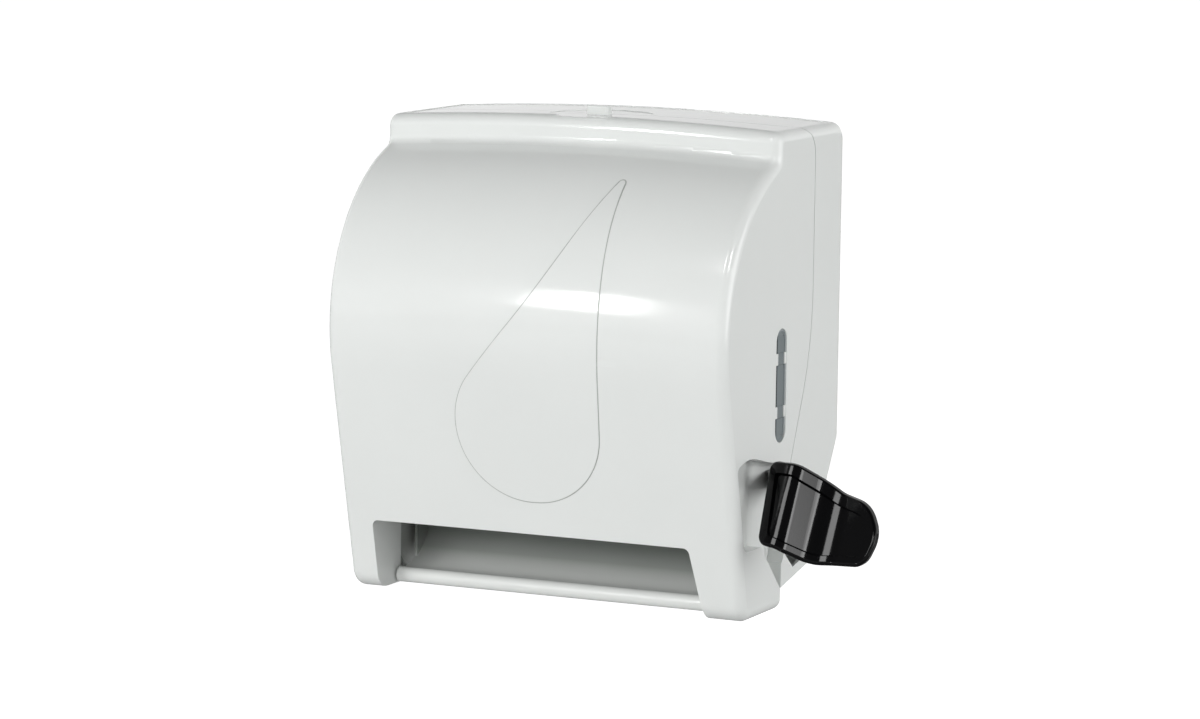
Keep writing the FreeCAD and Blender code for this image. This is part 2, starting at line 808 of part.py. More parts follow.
def make_window_lens():
    """Smoked level window that clips into the cover from inside."""
    lens = new_body("window_lens")
    inner = HALF_WIDTH - d.case_wall
    add(lens, "pane", "YZ_Plane", inner, inner + d.lens_thickness, [window_outline(-d.lens_play)])
    add(lens, "flange", "YZ_Plane", inner - 1.5, inner, [window_outline(d.lens_flange)])
    cut(lens, "clip_notches", "YZ_Plane", inner, inner + 2 * d.lens_thickness, lens_tabs(d.lens_play))


def latch_levels():
    """Heights of the latch pieces below the top of the case."""
    ceiling = d.case_top - d.case_wall
    catch_foot = ceiling - d.catch_drop
    hook_top = catch_foot - d.button_play
    floor = d.case_top - d.latch_floor_drop
    return ceiling, catch_foot, hook_top, floor


def make_latch_button():
    """Push button with the hook that holds the cover shut."""
    ceiling, catch_foot, hook_top, floor = latch_levels()
    button = new_body("latch_button")
    half_x = d.button_width / 2
    front = -d.button_depth - d.button_thickness / 2
    back = -d.button_depth + d.button_thickness / 2
    cap = rectangle(-half_x, half_x, front, back, 2.2)
    add(button, "cap", "XY_Plane", hook_top - 6.0, d.case_top + d.button_rise, [cap])
    round_edges(button, "cap_rim", 1.6, lambda edge:
                abs(edge.BoundBox.ZMin - (d.case_top + d.button_rise).value) < 0.01)
    collar = rectangle(-half_x - 2.0, half_x + 2.0, front - 1.5, back)
    stop = ceiling - d.button_play
    add(button, "collar", "XY_Plane", stop - 2.0, stop, [collar])
    nose_front = -d.seam_top_depth + d.seam_gap + d.catch_thickness + d.button_play
    arm = [
        (back - 2.0, hook_top - d.hook_thickness),
        (nose_front + d.hook_thickness, hook_top - d.hook_thickness, 1.0),
        (nose_front + d.hook_thickness, hook_top + d.catch_drop - 1.2, 1.4),
        (nose_front, hook_top + d.catch_drop - 1.2),
        (nose_front, hook_top),
        (back - 2.0, hook_top),
    ]
    add(button, "hook", "YZ_Plane", -half_x + 3.0, half_x - 3.0, [arm])


def make_latch_housing():
    """Bracket under the cover's top that guides the button and carries its spring."""
    ceiling, catch_foot, hook_top, floor = latch_levels()
    holder = new_body("latch_housing")
    side = d.button_width / 2 + 3.0
    front = -d.button_depth - d.button_thickness / 2 - 2.5
    back = -d.seam_top_depth - 0.4
    add(holder, "floor", "XY_Plane", floor, floor + 2.0, [rectangle(-side, side, front, back)])
    walls = [
        (-side - 2.0, floor),
        (side + 2.0, floor),
        (side + 2.0, ceiling - 0.1),
        (side, ceiling - 0.1),
        (side, floor + 2.0),
        (-side, floor + 2.0),
        (-side, ceiling - 0.1),
        (-side - 2.0, ceiling - 0.1),
    ]
    add(holder, "walls", "XZ_Plane", front, back, [walls])
    post = (0.0, -d.button_depth, d.latch_spring_radius - 2 * d.latch_spring_wire)
    add(holder, "spring_post", "XY_Plane", floor + 2.0, floor + 5.0, [post])


def coil(name, radius, wire, length, turns, placement):
    """Coil spring swept along a helix, standing on its own origin."""
    spring = doc.addObject("Part::Feature", name)
    spring.Label = name
    run = length.value - wire.value - 0.4
    helix = Part.makeHelix(run / turns, run, radius.value)
    start = Part.Wire(Part.makeCircle(wire.value / 2, Vector(radius.value, 0, 0), Vector(0, 1, 0.05)))
    spring.Shape = Part.Wire(helix).makePipeShell([start], True, True)
    seat = Vector(0, 0, wire.value / 2 + 0.2)
    spring.Placement = Placement(placement.Base + seat, placement.Rotation)
    PARTS.append(spring)
    return spring


def make_latch_spring():
    """Compression spring between the bracket's floor and the button."""
    ceiling, catch_foot, hook_top, floor = latch_levels()
    length = hook_top - 6.0 - floor - 2.0
    place = Vector(0, -d.button_depth.value, floor.value + 2.0)
    coil("latch_spring", d.latch_spring_radius, d.latch_spring_wire, length, 5, Placement(place, Rotation()))


# ---------------------------------------------------------------- roller module


def plate_faces():
    """X ranges of the right and left side plates."""
    right = d.slot_right + d.plate_gap
    left = d.slot_left - d.plate_gap
    return (right, right + d.plate_thickness), (left - d.plate_thickness, left)


def train_distance():
    """Distance between the lever's axis and the pinion's axis."""
    return d.gear_module * (d.sector_teeth + d.pinion_teeth) / 2


def drive_axis():
    """Y and Z of the drive roller's axis."""
    reach = train_distance()
    return (-d.lever_depth - reach * cosine(d.train_angle),
            d.lever_height - reach * sine(d.train_angle))


def pressure_axis():
    """Y and Z of the pressure roller's axis, behind the drive roller."""
    y, z = drive_axis()
    reach = d.drive_radius + d.pressure_radius + d.nip_gap
    return y + reach * cosine(d.nip_angle), z - reach * sine(d.nip_angle)


def plate_outline():
    """Side outline of a side plate, down to the ear that carries the cover hinge."""
    wall = d.case_wall + 0.4
    y = -d.hinge_depth
    z = d.hinge_height
    ear = d.ear_radius
    shank_y = -d.shank_depth - wall
    keel_y = -d.keel_depth - wall
    floor = d.keel_height + wall + 1.5
    return [
        (-d.back_wall, d.heel_height + 12.0),
        (-d.back_wall, d.heel_height + 38.0, 3.0),
        (-40.0, d.heel_height + 30.0, 20.0),
        (-d.lever_depth - 8.0, d.lever_height + 24.0, 14.0),
        (-158.0, -94.0, 10.0),
        (-158.0, z + (158.0 - d.hinge_depth) - 1.41 * ear, 5.0),
        (y, z - 1.41 * ear, 0.97 * ear),
        (y + ear, z - 0.41 * ear, 0.97 * ear),
        (y + ear, floor, 4.0),
        (keel_y, floor, 8.0),
        (shank_y, d.shank_height + wall, 20.0),
        (-d.heel_step - wall - 2.0, d.heel_height + 3.0),
    ]


def make_side_plate(name, near, far, bores, outward, bore_posts):
    """Flat frame plate with a screwed flange on the back wall and the shaft bores."""
    plate = new_body(name)
    add(plate, "web", "YZ_Plane", near, far, [plate_outline()])
    foot_low = d.heel_height + 12.0
    foot_high = d.heel_height + 38.0
    if outward > 0:
        foot = rectangle(near, far + 8.0, foot_low, foot_high, 1.0)
    else:
        foot = rectangle(near - 8.0, far, foot_low, foot_high, 1.0)
    add(plate, "foot", "XZ_Plane", -d.back_wall - 3.0, -d.back_wall, [foot])
    leave_screw_room(plate)
    for number, (y, z, radius, x_low, x_high) in enumerate(bore_posts):
        add(plate, "post_%d" % number, "YZ_Plane", x_low, x_high, [(y, z, radius)])
    cut(plate, "bores", "YZ_Plane", near - 1.0, far + 1.0, bores)
    return plate


def gear_posts():
    """Y and Z of the three spacers that carry the gear cover."""
    return [(-145.0, -122.0), (-72.0, -60.0), (-70.0, -118.0)]


def make_module_frame():
    """The two side plates of the roller module."""
    right, left = plate_faces()
    drive_y, drive_z = drive_axis()
    press_y, press_z = pressure_axis()
    bush = 5.5
    shared = [
        (drive_y, drive_z, bush),
        (press_y, press_z, d.pressure_shaft_radius + d.shaft_play),
        (-d.hinge_depth, d.hinge_height, d.hinge_pin_radius),
    ]
    lever = (-d.lever_depth, d.lever_height, d.lever_shaft_radius + d.shaft_play)
    posts = [(y, z, 4.0, right[1], right[1] + d.gear_cover_gap) for y, z in gear_posts()]
    make_side_plate("side_plate_right", right[0], right[1], shared + [lever], 1, posts)
    make_side_plate("side_plate_left", left[0], left[1], shared, -1, [])


def make_gear_cover():
    """Outer bearing plate over the gears."""
    right, left = plate_faces()
    near = right[1] + d.gear_cover_gap
    drive_y, drive_z = drive_axis()
    cover = new_body("gear_cover")
    corners = [
        (-155.0, -134.0, 10.0),
        (-155.0, -108.0, 12.0),
        (-100.0, -50.0, 16.0),
        (-60.0, -50.0, 10.0),
        (-60.0, -130.0, 10.0),
    ]
    add(cover, "web", "YZ_Plane", near, near + 2.5, [corners])
    bores = [
        (-d.lever_depth, d.lever_height, d.lever_shaft_radius + d.shaft_play),
        (drive_y, drive_z, d.drive_shaft_radius + d.shaft_play),
    ]
    cut(cover, "bores", "YZ_Plane", near - 1.0, near + 4.0, bores)
    return cover


def make_rollers():
    """Drive and pressure rollers: shafts, core, rubber sleeves and the drive bushes."""
    right, left = plate_faces()
    drive_y, drive_z = drive_axis()
    press_y, press_z = pressure_axis()
    core_low = left[1] + 2.0
    core_high = right[0] - 2.0
    shaft = new_body("drive_shaft")
    far_end = right[1] + d.gear_cover_gap + 2.5
    add(shaft, "rod", "YZ_Plane", left[0] - 4.0, far_end, [(drive_y, drive_z, d.drive_shaft_radius)])
    core = new_body("drive_core")
    ring = (drive_y, drive_z, d.drive_core_radius)
    hole = (drive_y, drive_z, d.drive_shaft_radius)
    add(core, "tube", "YZ_Plane", core_low, core_high, [ring, hole])
    sleeves = new_body("drive_sleeves")
    tyres = new_body("pressure_sleeves")
    span = core_high - core_low
    for number in range(4):
        middle = core_low + span * ((number + 0.5) / 4)
        low = middle - d.sleeve_length / 2
        high = middle + d.sleeve_length / 2
        outer = (drive_y, drive_z, d.drive_radius)
        add(sleeves, "sleeve_%d" % number, "YZ_Plane", low, high, [outer, ring])
        tyre = (press_y, press_z, d.pressure_radius)
        bore = (press_y, press_z, d.pressure_shaft_radius)
        add(tyres, "tyre_%d" % number, "YZ_Plane", low, high, [tyre, bore])
    rod = new_body("pressure_shaft")
    press = (press_y, press_z, d.pressure_shaft_radius)
    add(rod, "rod", "YZ_Plane", left[0] - 3.0, right[1] + 1.0, [press])
    bushes = new_body("drive_bushes")
    bore = (drive_y, drive_z, d.drive_shaft_radius + d.shaft_play)
    for number, (low, high, flange_low) in enumerate(
            ((left[0], left[1], left[1]), (right[0], right[1], right[0] - 1.5))):
        add(bushes, "bush_%d" % number, "YZ_Plane", low, high, [(drive_y, drive_z, 5.5), bore])
        add(bushes, "flange_%d" % number, "YZ_Plane", flange_low, flange_low + 1.5,
            [(drive_y, drive_z, 7.5), bore])


def gear_points(teeth, module, backlash):
    """Outline of an involute spur gear with one tooth centred on the first axis."""
    pitch = module * teeth / 2
    pressure = math.radians(20)
    base = pitch * math.cos(pressure)
    tip = pitch + module
    root = pitch - 1.25 * module
    half_at_pitch = math.pi / (2 * teeth) - backlash / (2 * pitch)
    involute = math.tan(pressure) - pressure
    flank = []
    for step in range(4):
        radius = max(base, root) + (tip - max(base, root)) * step / 3
        angle = math.acos(min(1.0, base / radius))
        flank.append((radius, half_at_pitch + involute - (math.tan(angle) - angle)))
    if root < base:
        flank.insert(0, (root, flank[0][1]))
    points = []
    for tooth in range(int(teeth)):
        middle = 2 * math.pi * tooth / teeth
        for radius, half in flank:
            points.append((radius, middle - half))
        for radius, half in reversed(flank):
            points.append((radius, middle + half))
    return [Vector(0, r * math.cos(a), r * math.sin(a)) for r, a in points]


def gear_solid(teeth, width, bore, backlash):
    """Spur gear about the X axis, from x = 0 to its width."""
    points = gear_points(teeth, d.gear_module.value, backlash)
    face = Part.Face(Part.makePolygon(points + points[:1]))
    gear = face.extrude(Vector(width, 0, 0))
    hole = Part.makeCylinder(bore, width, Vector(), Vector(1, 0, 0))
    return gear.cut(hole)


def part_feature(name, shape, placement):
    """Export a shape made with Part functions."""
    feature = doc.addObject("Part::Feature", name)
    feature.Label = name
    feature.Shape = shape
    feature.Placement = placement
    PARTS.append(feature)
    return feature


def make_gears():
    """Sector gear on the lever shaft and pinion on the drive shaft."""
    right, left = plate_faces()
    near = (right[1] + d.gear_plate_gap).value
    width = d.gear_width.value
    backlash = d.gear_backlash.value
    facing = 180.0 + d.train_angle.value
    gear = gear_solid(d.sector_teeth.value, width, d.lever_shaft_radius.value, backlash)
    pitch_angle = 360.0 / d.sector_teeth.value
    turn = facing - 0.5 * pitch_angle
    gear.rotate(Vector(), Vector(1, 0, 0), turn)
    reach = d.gear_module.value * d.sector_teeth.value
    low = math.radians(facing - 46.0)
    high = math.radians(facing + 9.0)
    tips = [Vector(-1, reach * math.cos(a), reach * math.sin(a)) for a in (low, (low + high) / 2, high)]
    wedge = Part.Face(Part.makePolygon([Vector(-1, 0, 0)] + tips + [Vector(-1, 0, 0)]))
    wedge = wedge.extrude(Vector(width + 2, 0, 0))
    hub = Part.makeCylinder(2.4 * d.lever_shaft_radius.value, width, Vector(), Vector(1, 0, 0))
    hub = hub.cut(Part.makeCylinder(d.lever_shaft_radius.value, width, Vector(), Vector(1, 0, 0)))
    sector = gear.common(wedge).fuse(hub).removeSplitter()
    place = Vector(near, -d.lever_depth.value, d.lever_height.value)
    part_feature("sector_gear", sector, Placement(place, Rotation()))
    pinion = gear_solid(d.pinion_teeth.value, width, d.drive_shaft_radius.value, backlash)
    drive_y, drive_z = drive_axis()
    place = Vector(near, drive_y.value, drive_z.value)
    meshed = Rotation(Vector(1, 0, 0), facing + 180.0)
    part_feature("pinion_gear", pinion, Placement(place, meshed))


def make_chute():
    """Curved paper chute with the rounded lip between the cover's legs."""
    left = d.slot_left + d.chute_play
    right = d.slot_right - d.chute_play
    inner_y = d.chute_radius - d.chute_centre_depth
    floor = d.chute_centre_height - d.chute_radius
    thick = d.chute_thickness
    tip = -d.chute_centre_depth - 1.0
    chute = new_body("paper_chute")
    corners = [
        (inner_y + thick, d.chute_centre_height + 1.0),
        (inner_y + thick, floor - thick, d.chute_radius + thick),
        (tip, floor - thick),
        (tip, floor),
        (inner_y, floor, d.chute_radius),
        (inner_y, d.chute_centre_height + 1.0),
    ]
    add(chute, "bowl", "YZ_Plane", left, right, [corners])
    lip = (tip, floor - d.lip_radius + 2.0, d.lip_radius)
    add(chute, "lip", "YZ_Plane", left, right, [lip])
    cheek = [
        (-d.cheek_depth, d.cheek_top),
        (-d.cheek_depth, floor - thick / 2),
        (inner_y + thick / 2, floor - thick / 2, d.chute_radius + thick / 2),
        (inner_y + thick / 2, d.cheek_top),
    ]
    add(chute, "left_cheek", "YZ_Plane", left, left + d.chute_play, [cheek])
    add(chute, "right_cheek", "YZ_Plane", right - d.chute_play, right, [cheek])
    (right_near, right_far), (left_near, left_far) = plate_faces()
    lug = rectangle(inner_y - 10.0, inner_y + thick, d.chute_centre_height - 22.0,
                    d.chute_centre_height - 8.0, 2.0)
    add(chute, "left_lug", "YZ_Plane", left_far, left, [lug])
    add(chute, "right_lug", "YZ_Plane", right, right_near, [lug])


def make_tear_bar():
    """Cross beam in front of the drive roller and the serrated steel blade on it."""
    (right_near, right_far), (left_near, left_far) = plate_faces()
    front = size(-156.0)
    back = size(-146.0)
    top = size(-96.0)
    foot = size(-120.0)
    beam = new_body("tear_bar_beam")
    section = [
        (front, foot),
        (front, top, 4.0),
        (back, top),
        (back, top - 3.0),
        (front + 3.0, top - 3.0, 2.0),
        (front + 3.0, foot),
    ]
    add(beam, "rail", "YZ_Plane", left_far, right_near, [section])
    end = [(front, foot), (front, top, 4.0), (back, top), (back, top - 12.0)]
    add(beam, "left_end", "YZ_Plane", left_far, left_far + 3.0, [end])
    add(beam, "right_end", "YZ_Plane", right_near - 3.0, right_near, [end])
    left = d.slot_left + 4.0
    right = d.slot_right - 4.0
    pitch = 4.0
    blade = new_body("tear_bar")
    plate = rectangle(left, right, foot - 4.5, foot + 8.0)
    add(blade, "strip", "XZ_Plane", front - 1.2, front, [plate])
    notch = new_sketch(blade, "notch_sketch", "XZ_Plane", 1.3 - front)
    outline(notch, [(left, foot - 4.6), (left + pitch, foot - 4.6), (left + pitch / 2, foot - 2.0)])
    tooth = blade.newObject("PartDesign::Pocket", "notch")
    tooth.Profile = notch
    tooth.Type = "Length"
    tooth.SideType = "Symmetric"
    tooth.Length = 6.0
    doc.recompute()
    pattern = blade.newObject("PartDesign::LinearPattern", "teeth")
    pattern.Originals = [tooth]
    pattern.Direction = (notch, ["H_Axis"])
    count = int((right.value - left.value) / pitch)
    pattern.Length = pitch * (count - 1)
    pattern.Occurrences = count
    blade.Tip = pattern
    doc.recompute()


def make_hinge_pins():
    """Pins of the cover hinge, pressed into the side plates."""
    (right_near, right_far), (left_near, left_far) = plate_faces()
    right_ear, left_ear = hinge_ears()
    pins = new_body("hinge_pins")
    place = (-d.hinge_depth, d.hinge_height, d.hinge_pin_radius)
    add(pins, "right_pin", "YZ_Plane", right_near, right_ear[1] + 1.5, [place])
    add(pins, "left_pin", "YZ_Plane", left_ear[0] - 1.5, left_far, [place])


# ---------------------------------------------------------------- lever


def paddle_plan(shift, thickness):
    """The paddle's swayed section across its leaning plane, moved back by the shift."""
    start = d.paddle_inner - 4.0
    end = d.paddle_reach + 4.0
    near = [
        (start, shift + 2.0),
        (d.paddle_inner + 16.0, shift - d.paddle_sway, 28.0 - shift),
        (d.paddle_inner + 52.0, shift + d.paddle_sway, 45.0 + shift),
        (end, shift + 2.0),
    ]
    bends = (0.0, -thickness, thickness, 0.0)
    far = [(x, y + thickness) + tuple(radius + bend for radius in rest)
           for (x, y, *rest), bend in zip(near, bends)]
    return near + far[::-1]


def leaning_sketch(body, name):
    """Sketch on the plane across the paddle, turned to its lean."""
    sketch = new_sketch(body, name, "XY_Plane", d.paddle_top)
    lean = Rotation(Vector(1, 0, 0), -d.paddle_lean.value)
    place = Vector(0, -d.paddle_top_depth.value, d.paddle_top.value)
    sketch.AttachmentOffset = Placement(place, lean)
    bind(sketch, "AttachmentOffset.Base.y", -d.paddle_top_depth)
    bind(sketch, "AttachmentOffset.Base.z", d.paddle_top)
    return sketch


def leaning_slab(body, name, shift, thickness):
    """Pad the swayed section along the paddle's lean."""
    plan = leaning_sketch(body, name + "_plan")
    outline(plan, paddle_plan(shift, thickness))
    pad = body.newObject("PartDesign::Pad", name)
    pad.Profile = plan
    pad.Type = "Length"
    pad.SideType = "Symmetric"
    bind(pad, "Length", 3 * d.paddle_height)
    doc.recompute()


def paddle_face(inset):
    """Front outline of the paddle, drawn in by the inset."""
    top = d.paddle_top - inset
    inner = d.paddle_inner + inset
    reach = d.paddle_reach - inset
    foot = d.paddle_top - d.paddle_height + inset
    shoulder = d.paddle_top - d.paddle_shoulder - 1.05 * inset
    return [
        (inner, top, 6.0 - inset / 2),
        (inner + 22.5 - 1.2 * inset, top, 26.0 - inset),
        (reach - 37.0 + 0.8 * inset, shoulder + 1.8, 30.0 + inset),
        (reach - 13.5 + 0.5 * inset, shoulder - 3.5, 26.0 - inset),
        (reach, top - 45.5 + inset, 22.0 - inset),
        (reach - 7.0 + 0.2 * inset, foot + 1.8, 12.0 - inset),
        (inner + 46.0 - 0.8 * inset, foot - 0.5, 40.0 - inset),
        (inner + 20.0 - 0.8 * inset, foot + 10.8, 25.0 + inset),
        (inner + 5.8, foot + 12.9, 8.0 - inset / 2),
    ]


def make_paddle():
    """Rimmed press paddle with a dished face."""
    border = rectangle(-FAR, FAR, -FAR, FAR)
    dish = new_body("paddle_hollow", False)
    leaning_slab(dish, "hollow", -d.paddle_dish, 2 * d.paddle_dish)
    cut(dish, "hollow_edge", "XZ_Plane", -FAR, FAR, [border, paddle_face(d.paddle_rim)])
    paddle = new_body("paddle", False)
    leaning_slab(paddle, "plate", size(0.0), d.paddle_thickness)
    cut(paddle, "plate_edge", "XZ_Plane", -FAR, FAR, [border, paddle_face(size(0.0))])
    round_edges(paddle, "plate_rim", d.paddle_round, lambda edge:
                edge.BoundBox.XLength > 0.01 or edge.BoundBox.ZLength > 0.01)
    take_away(paddle, "dish", [dish])
    return paddle


def make_lever():
    """Press paddle on its arm, and the shaft it turns."""
    right, left = plate_faces()
    y = -d.lever_depth
    z = d.lever_height
    arm_low = d.recess_floor + 1.5
    arm_high = arm_low + d.lever_arm_thickness
    hub = d.lever_hub_radius
    lever = new_body("lever_handle")
    reach = -d.paddle_top_depth - 16.0
    strut = [
        (arm_low, y - 2.0),
        (arm_low, y - 22.0, 14.0),
        (d.paddle_inner + 1.5, reach + 12.0),
        (d.paddle_inner + 1.5, reach),
        (d.paddle_inner + 22.0, reach),
        (arm_high, y - 14.0, 14.0),
        (arm_high, y - 2.0),
    ]
    half = d.lever_arm_height / 2
    add(lever, "strut", "XY_Plane", z - half, z + half, [strut])
    add(lever, "hub", "YZ_Plane", arm_low, arm_high, [(y, z, hub)])
    front = leaning_sketch(lever, "strut_end_plan")
    section = paddle_plan(size(0.0), d.paddle_thickness / 2)[4:]
    outline(front, section + [(section[-1][0], -FAR / 4), (section[0][0], -FAR / 4)])
    trim = lever.newObject("PartDesign::Pocket", "strut_end")
    trim.Profile = front
    trim.Type = "Length"
    trim.SideType = "Symmetric"
    bind(trim, "Length", 3 * d.paddle_height)
    doc.recompute()
    join(lever, "lever_paddle", [make_paddle()])
    cut(lever, "shaft_bore", "YZ_Plane", arm_low - 1.0, arm_high - 3.0, [(y, z, d.lever_shaft_radius)])
    shaft = new_body("lever_shaft")
    add(shaft, "rod", "YZ_Plane", right[0] - 1.0, arm_high - 3.0, [(y, z, d.lever_shaft_radius)])


# ---------------------------------------------------------------- towel roll supports


def arm_outline():
    """Side outline of a roll arm, from the back wall to the hub."""
    half = d.arm_root_height / 2
    tip_y = -d.roll_depth - d.arm_tip_radius
    tip = d.arm_tip_radius
    root = -d.back_wall
    z = d.roll_height
    return [
        (root, z - half),
        (tip_y + 50.0, z - tip, 60.0),
        (tip_y, z - tip, tip - 0.01),
        (tip_y, z + tip, tip - 0.01),
        (tip_y + 50.0, z + tip, 60.0),
        (root, z + half),
    ]


def make_roll_supports():
    """Two roll arms with turning hubs; the left arm swings out to load a roll."""
    y = -d.roll_depth
    z = d.roll_height
    roll_right = d.roll_centre_x + d.roll_width / 2
    roll_left = d.roll_centre_x - d.roll_width / 2
    half = d.arm_root_height / 2
    for name, face, way in (("right", roll_right, 1.0), ("left", roll_left, -1.0)):
        flange = face + way * d.hub_flange
        arm_near = flange + way * 0.3
        arm_far = arm_near + way * d.arm_thickness
        low, high = (arm_near, arm_far) if way > 0 else (arm_far, arm_near)
        arm = new_body("roll_arm_" + name)
        corners = arm_outline()
        if way < 0:
            corners[0] = (-d.back_wall - 13.0, corners[0][1] + 5.0)
            corners[-1] = (-d.back_wall - 13.0, corners[-1][1] - 5.0)
        add(arm, "web", "YZ_Plane", low, high, [corners])
        stub_end = face - way * (d.hub_length - 3.0)
        stub = sorted((arm_near, stub_end), key=lambda item: item.value)
        add(arm, "stub", "YZ_Plane", stub[0], stub[1], [(y, z, 5.0)])
        if way > 0:
            foot = rectangle(low, high + 14.0, z - half, z + half, 1.0)
            add(arm, "foot", "XZ_Plane", -d.back_wall - 3.0, -d.back_wall, [foot])
            leave_screw_room(arm)
        else:
            barrel = ((low + high) / 2, -d.back_wall - 10.0, 4.5)
            add(arm, "barrel", "XY_Plane", z - half + 5.5, z + half - 5.5, [barrel])
            pin = ((low + high) / 2, -d.back_wall - 10.0, 2.05)
            cut(arm, "pin_bore", "XY_Plane", z - half, z + half, [pin])
            make_arm_bracket((low + high) / 2)
        make_roll_hub(name, face, flange, way)


def make_arm_bracket(x):
    """Back wall bracket and pin of the swinging arm."""
    z = d.roll_height
    half = d.arm_root_height / 2
    bracket = new_body("arm_bracket")
    base = rectangle(x - 13.0, x + 11.0, z - half - 4.0, z + half + 4.0, 2.0)
    add(bracket, "base", "XZ_Plane", -d.back_wall - 3.0, -d.back_wall, [base])
    centre = -d.back_wall - 10.0
    ear = [
        (x - 5.0, -d.back_wall - 2.0),
        (x - 5.0, centre - 5.0, 4.99),
        (x + 5.0, centre - 5.0, 4.99),
        (x + 5.0, -d.back_wall - 2.0),
    ]
    for number, low in enumerate((z - half, z + half - 5.0)):
        add(bracket, "ear_%d" % number, "XY_Plane", low, low + 5.0, [ear])
    cut(bracket, "pin_bore", "XY_Plane", z - half - 1.0, z + half + 1.0, [(x, centre, 2.0)])
    leave_screw_room(bracket)
    pin = new_body("arm_pin")
    add(pin, "rod", "XY_Plane", z - half - 1.0, z + half + 1.0, [(x, centre, 2.0)])


def make_roll_hub(name, face, flange, way):
    """Turning hub that carries one end of the towel roll's core."""
    y = -d.roll_depth
    z = d.roll_height
    hub = new_body("roll_hub_" + name)
    bore = (y, z, 5.1)

    def span(a, b):
        return sorted((a, b), key=lambda item: item.value)

    end = face - way * d.hub_length
    low, high = span(flange, face)
    add(hub, "flange", "YZ_Plane", low, high, [(y, z, d.hub_flange_radius), bore])
    low, high = span(face, end)
    tube = [(y, z, d.hub_radius), (y, z, d.hub_radius - 2.5)]
    add(hub, "tube", "YZ_Plane", low, high, tube)
    add(hub, "boss", "YZ_Plane", low, high, [(y, z, 8.0), bore])


# ---------------------------------------------------------------- build


def export_parts():
    """Check every object, then write each part's solid under its label."""
    for thing in doc.Objects:
        if "Invalid" in thing.State or "Error" in thing.State:
            raise RuntimeError("%s failed: %s" % (thing.Name, thing.State))
    for part in PARTS:
        if part.Shape.isNull() or not part.Shape.isValid():
            raise RuntimeError("%s has no valid shape" % part.Label)
    os.makedirs("parts", exist_ok=True)
    for part in PARTS:
        part.Shape.exportStep("parts/%s.step" % part.Label)
        print("%-18s %2d solids %10.1f mm3" % (part.Label, len(part.Shape.Solids), part.Shape.Volume))


make_back_body()
make_front_cover()
make_window_lens()
make_latch_button()
make_latch_housing()
make_latch_spring()
make_module_frame()
make_gear_cover()
make_rollers()
make_gears()
make_chute()
make_tear_bar()
make_hinge_pins()
make_lever()
make_roll_supports()
doc.recompute()
export_parts()
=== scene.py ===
"""Looks of the lever paper towel dispenser: finishes, trim, light and camera."""

import json
import math

import bpy
from mathutils import Matrix, Vector


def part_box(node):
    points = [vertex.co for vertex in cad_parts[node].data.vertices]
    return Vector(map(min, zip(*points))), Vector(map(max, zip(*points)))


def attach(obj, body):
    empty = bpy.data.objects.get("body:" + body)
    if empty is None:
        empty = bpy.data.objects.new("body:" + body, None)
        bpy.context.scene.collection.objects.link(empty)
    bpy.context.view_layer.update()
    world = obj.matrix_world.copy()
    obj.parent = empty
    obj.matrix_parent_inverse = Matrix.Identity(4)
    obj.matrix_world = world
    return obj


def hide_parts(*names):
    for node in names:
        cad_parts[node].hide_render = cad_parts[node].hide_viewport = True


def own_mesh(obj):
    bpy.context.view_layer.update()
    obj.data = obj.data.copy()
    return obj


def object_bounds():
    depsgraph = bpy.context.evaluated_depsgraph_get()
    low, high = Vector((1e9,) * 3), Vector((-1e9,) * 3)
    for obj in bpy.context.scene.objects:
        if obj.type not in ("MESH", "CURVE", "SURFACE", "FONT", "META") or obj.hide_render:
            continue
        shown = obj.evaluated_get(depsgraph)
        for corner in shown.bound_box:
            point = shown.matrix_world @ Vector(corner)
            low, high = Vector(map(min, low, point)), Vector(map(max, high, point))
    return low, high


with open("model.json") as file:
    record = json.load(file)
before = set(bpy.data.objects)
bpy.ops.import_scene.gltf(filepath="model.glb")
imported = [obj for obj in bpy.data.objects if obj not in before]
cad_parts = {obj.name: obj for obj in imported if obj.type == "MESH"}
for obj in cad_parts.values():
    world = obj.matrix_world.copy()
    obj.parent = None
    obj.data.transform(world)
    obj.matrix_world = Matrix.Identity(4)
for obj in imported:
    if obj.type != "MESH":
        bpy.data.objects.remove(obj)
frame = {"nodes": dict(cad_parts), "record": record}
cad_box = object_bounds()
bpy.ops.object.select_all(action="DESELECT")

MM = 0.001
SLIGHT = 0.01 * MM
LENS_FLANGE = 3.25 * MM


# ---------------------------------------------------------------- finishes


def material(name, colour, roughness, metallic=0.0):
    """A principled material and its node tree."""
    made = bpy.data.materials.new(name)
    made.use_nodes = True
    shader = made.node_tree.nodes["Principled BSDF"]
    shader.inputs["Base Color"].default_value = (*colour, 1.0)
    shader.inputs["Roughness"].default_value = roughness
    shader.inputs["Metallic"].default_value = metallic
    return made, made.node_tree, shader


def noise(tree, scale, detail, stretch=(1.0, 1.0, 1.0)):
    """Noise on object coordinates."""
    place = tree.nodes.new("ShaderNodeTexCoord")
    mapping = tree.nodes.new("ShaderNodeMapping")
    mapping.inputs["Scale"].default_value = stretch
    texture = tree.nodes.new("ShaderNodeTexNoise")
    texture.inputs["Scale"].default_value = scale
    texture.inputs["Detail"].default_value = detail
    tree.links.new(place.outputs["Object"], mapping.inputs["Vector"])
    tree.links.new(mapping.outputs["Vector"], texture.inputs["Vector"])
    return texture


def waves(tree, scale, axis, distortion=0.0):
    """Even ridges along one object axis."""
    place = tree.nodes.new("ShaderNodeTexCoord")
    texture = tree.nodes.new("ShaderNodeTexWave")
    texture.bands_direction = axis
    texture.inputs["Scale"].default_value = scale
    texture.inputs["Distortion"].default_value = distortion
    tree.links.new(place.outputs["Object"], texture.inputs["Vector"])
    return texture


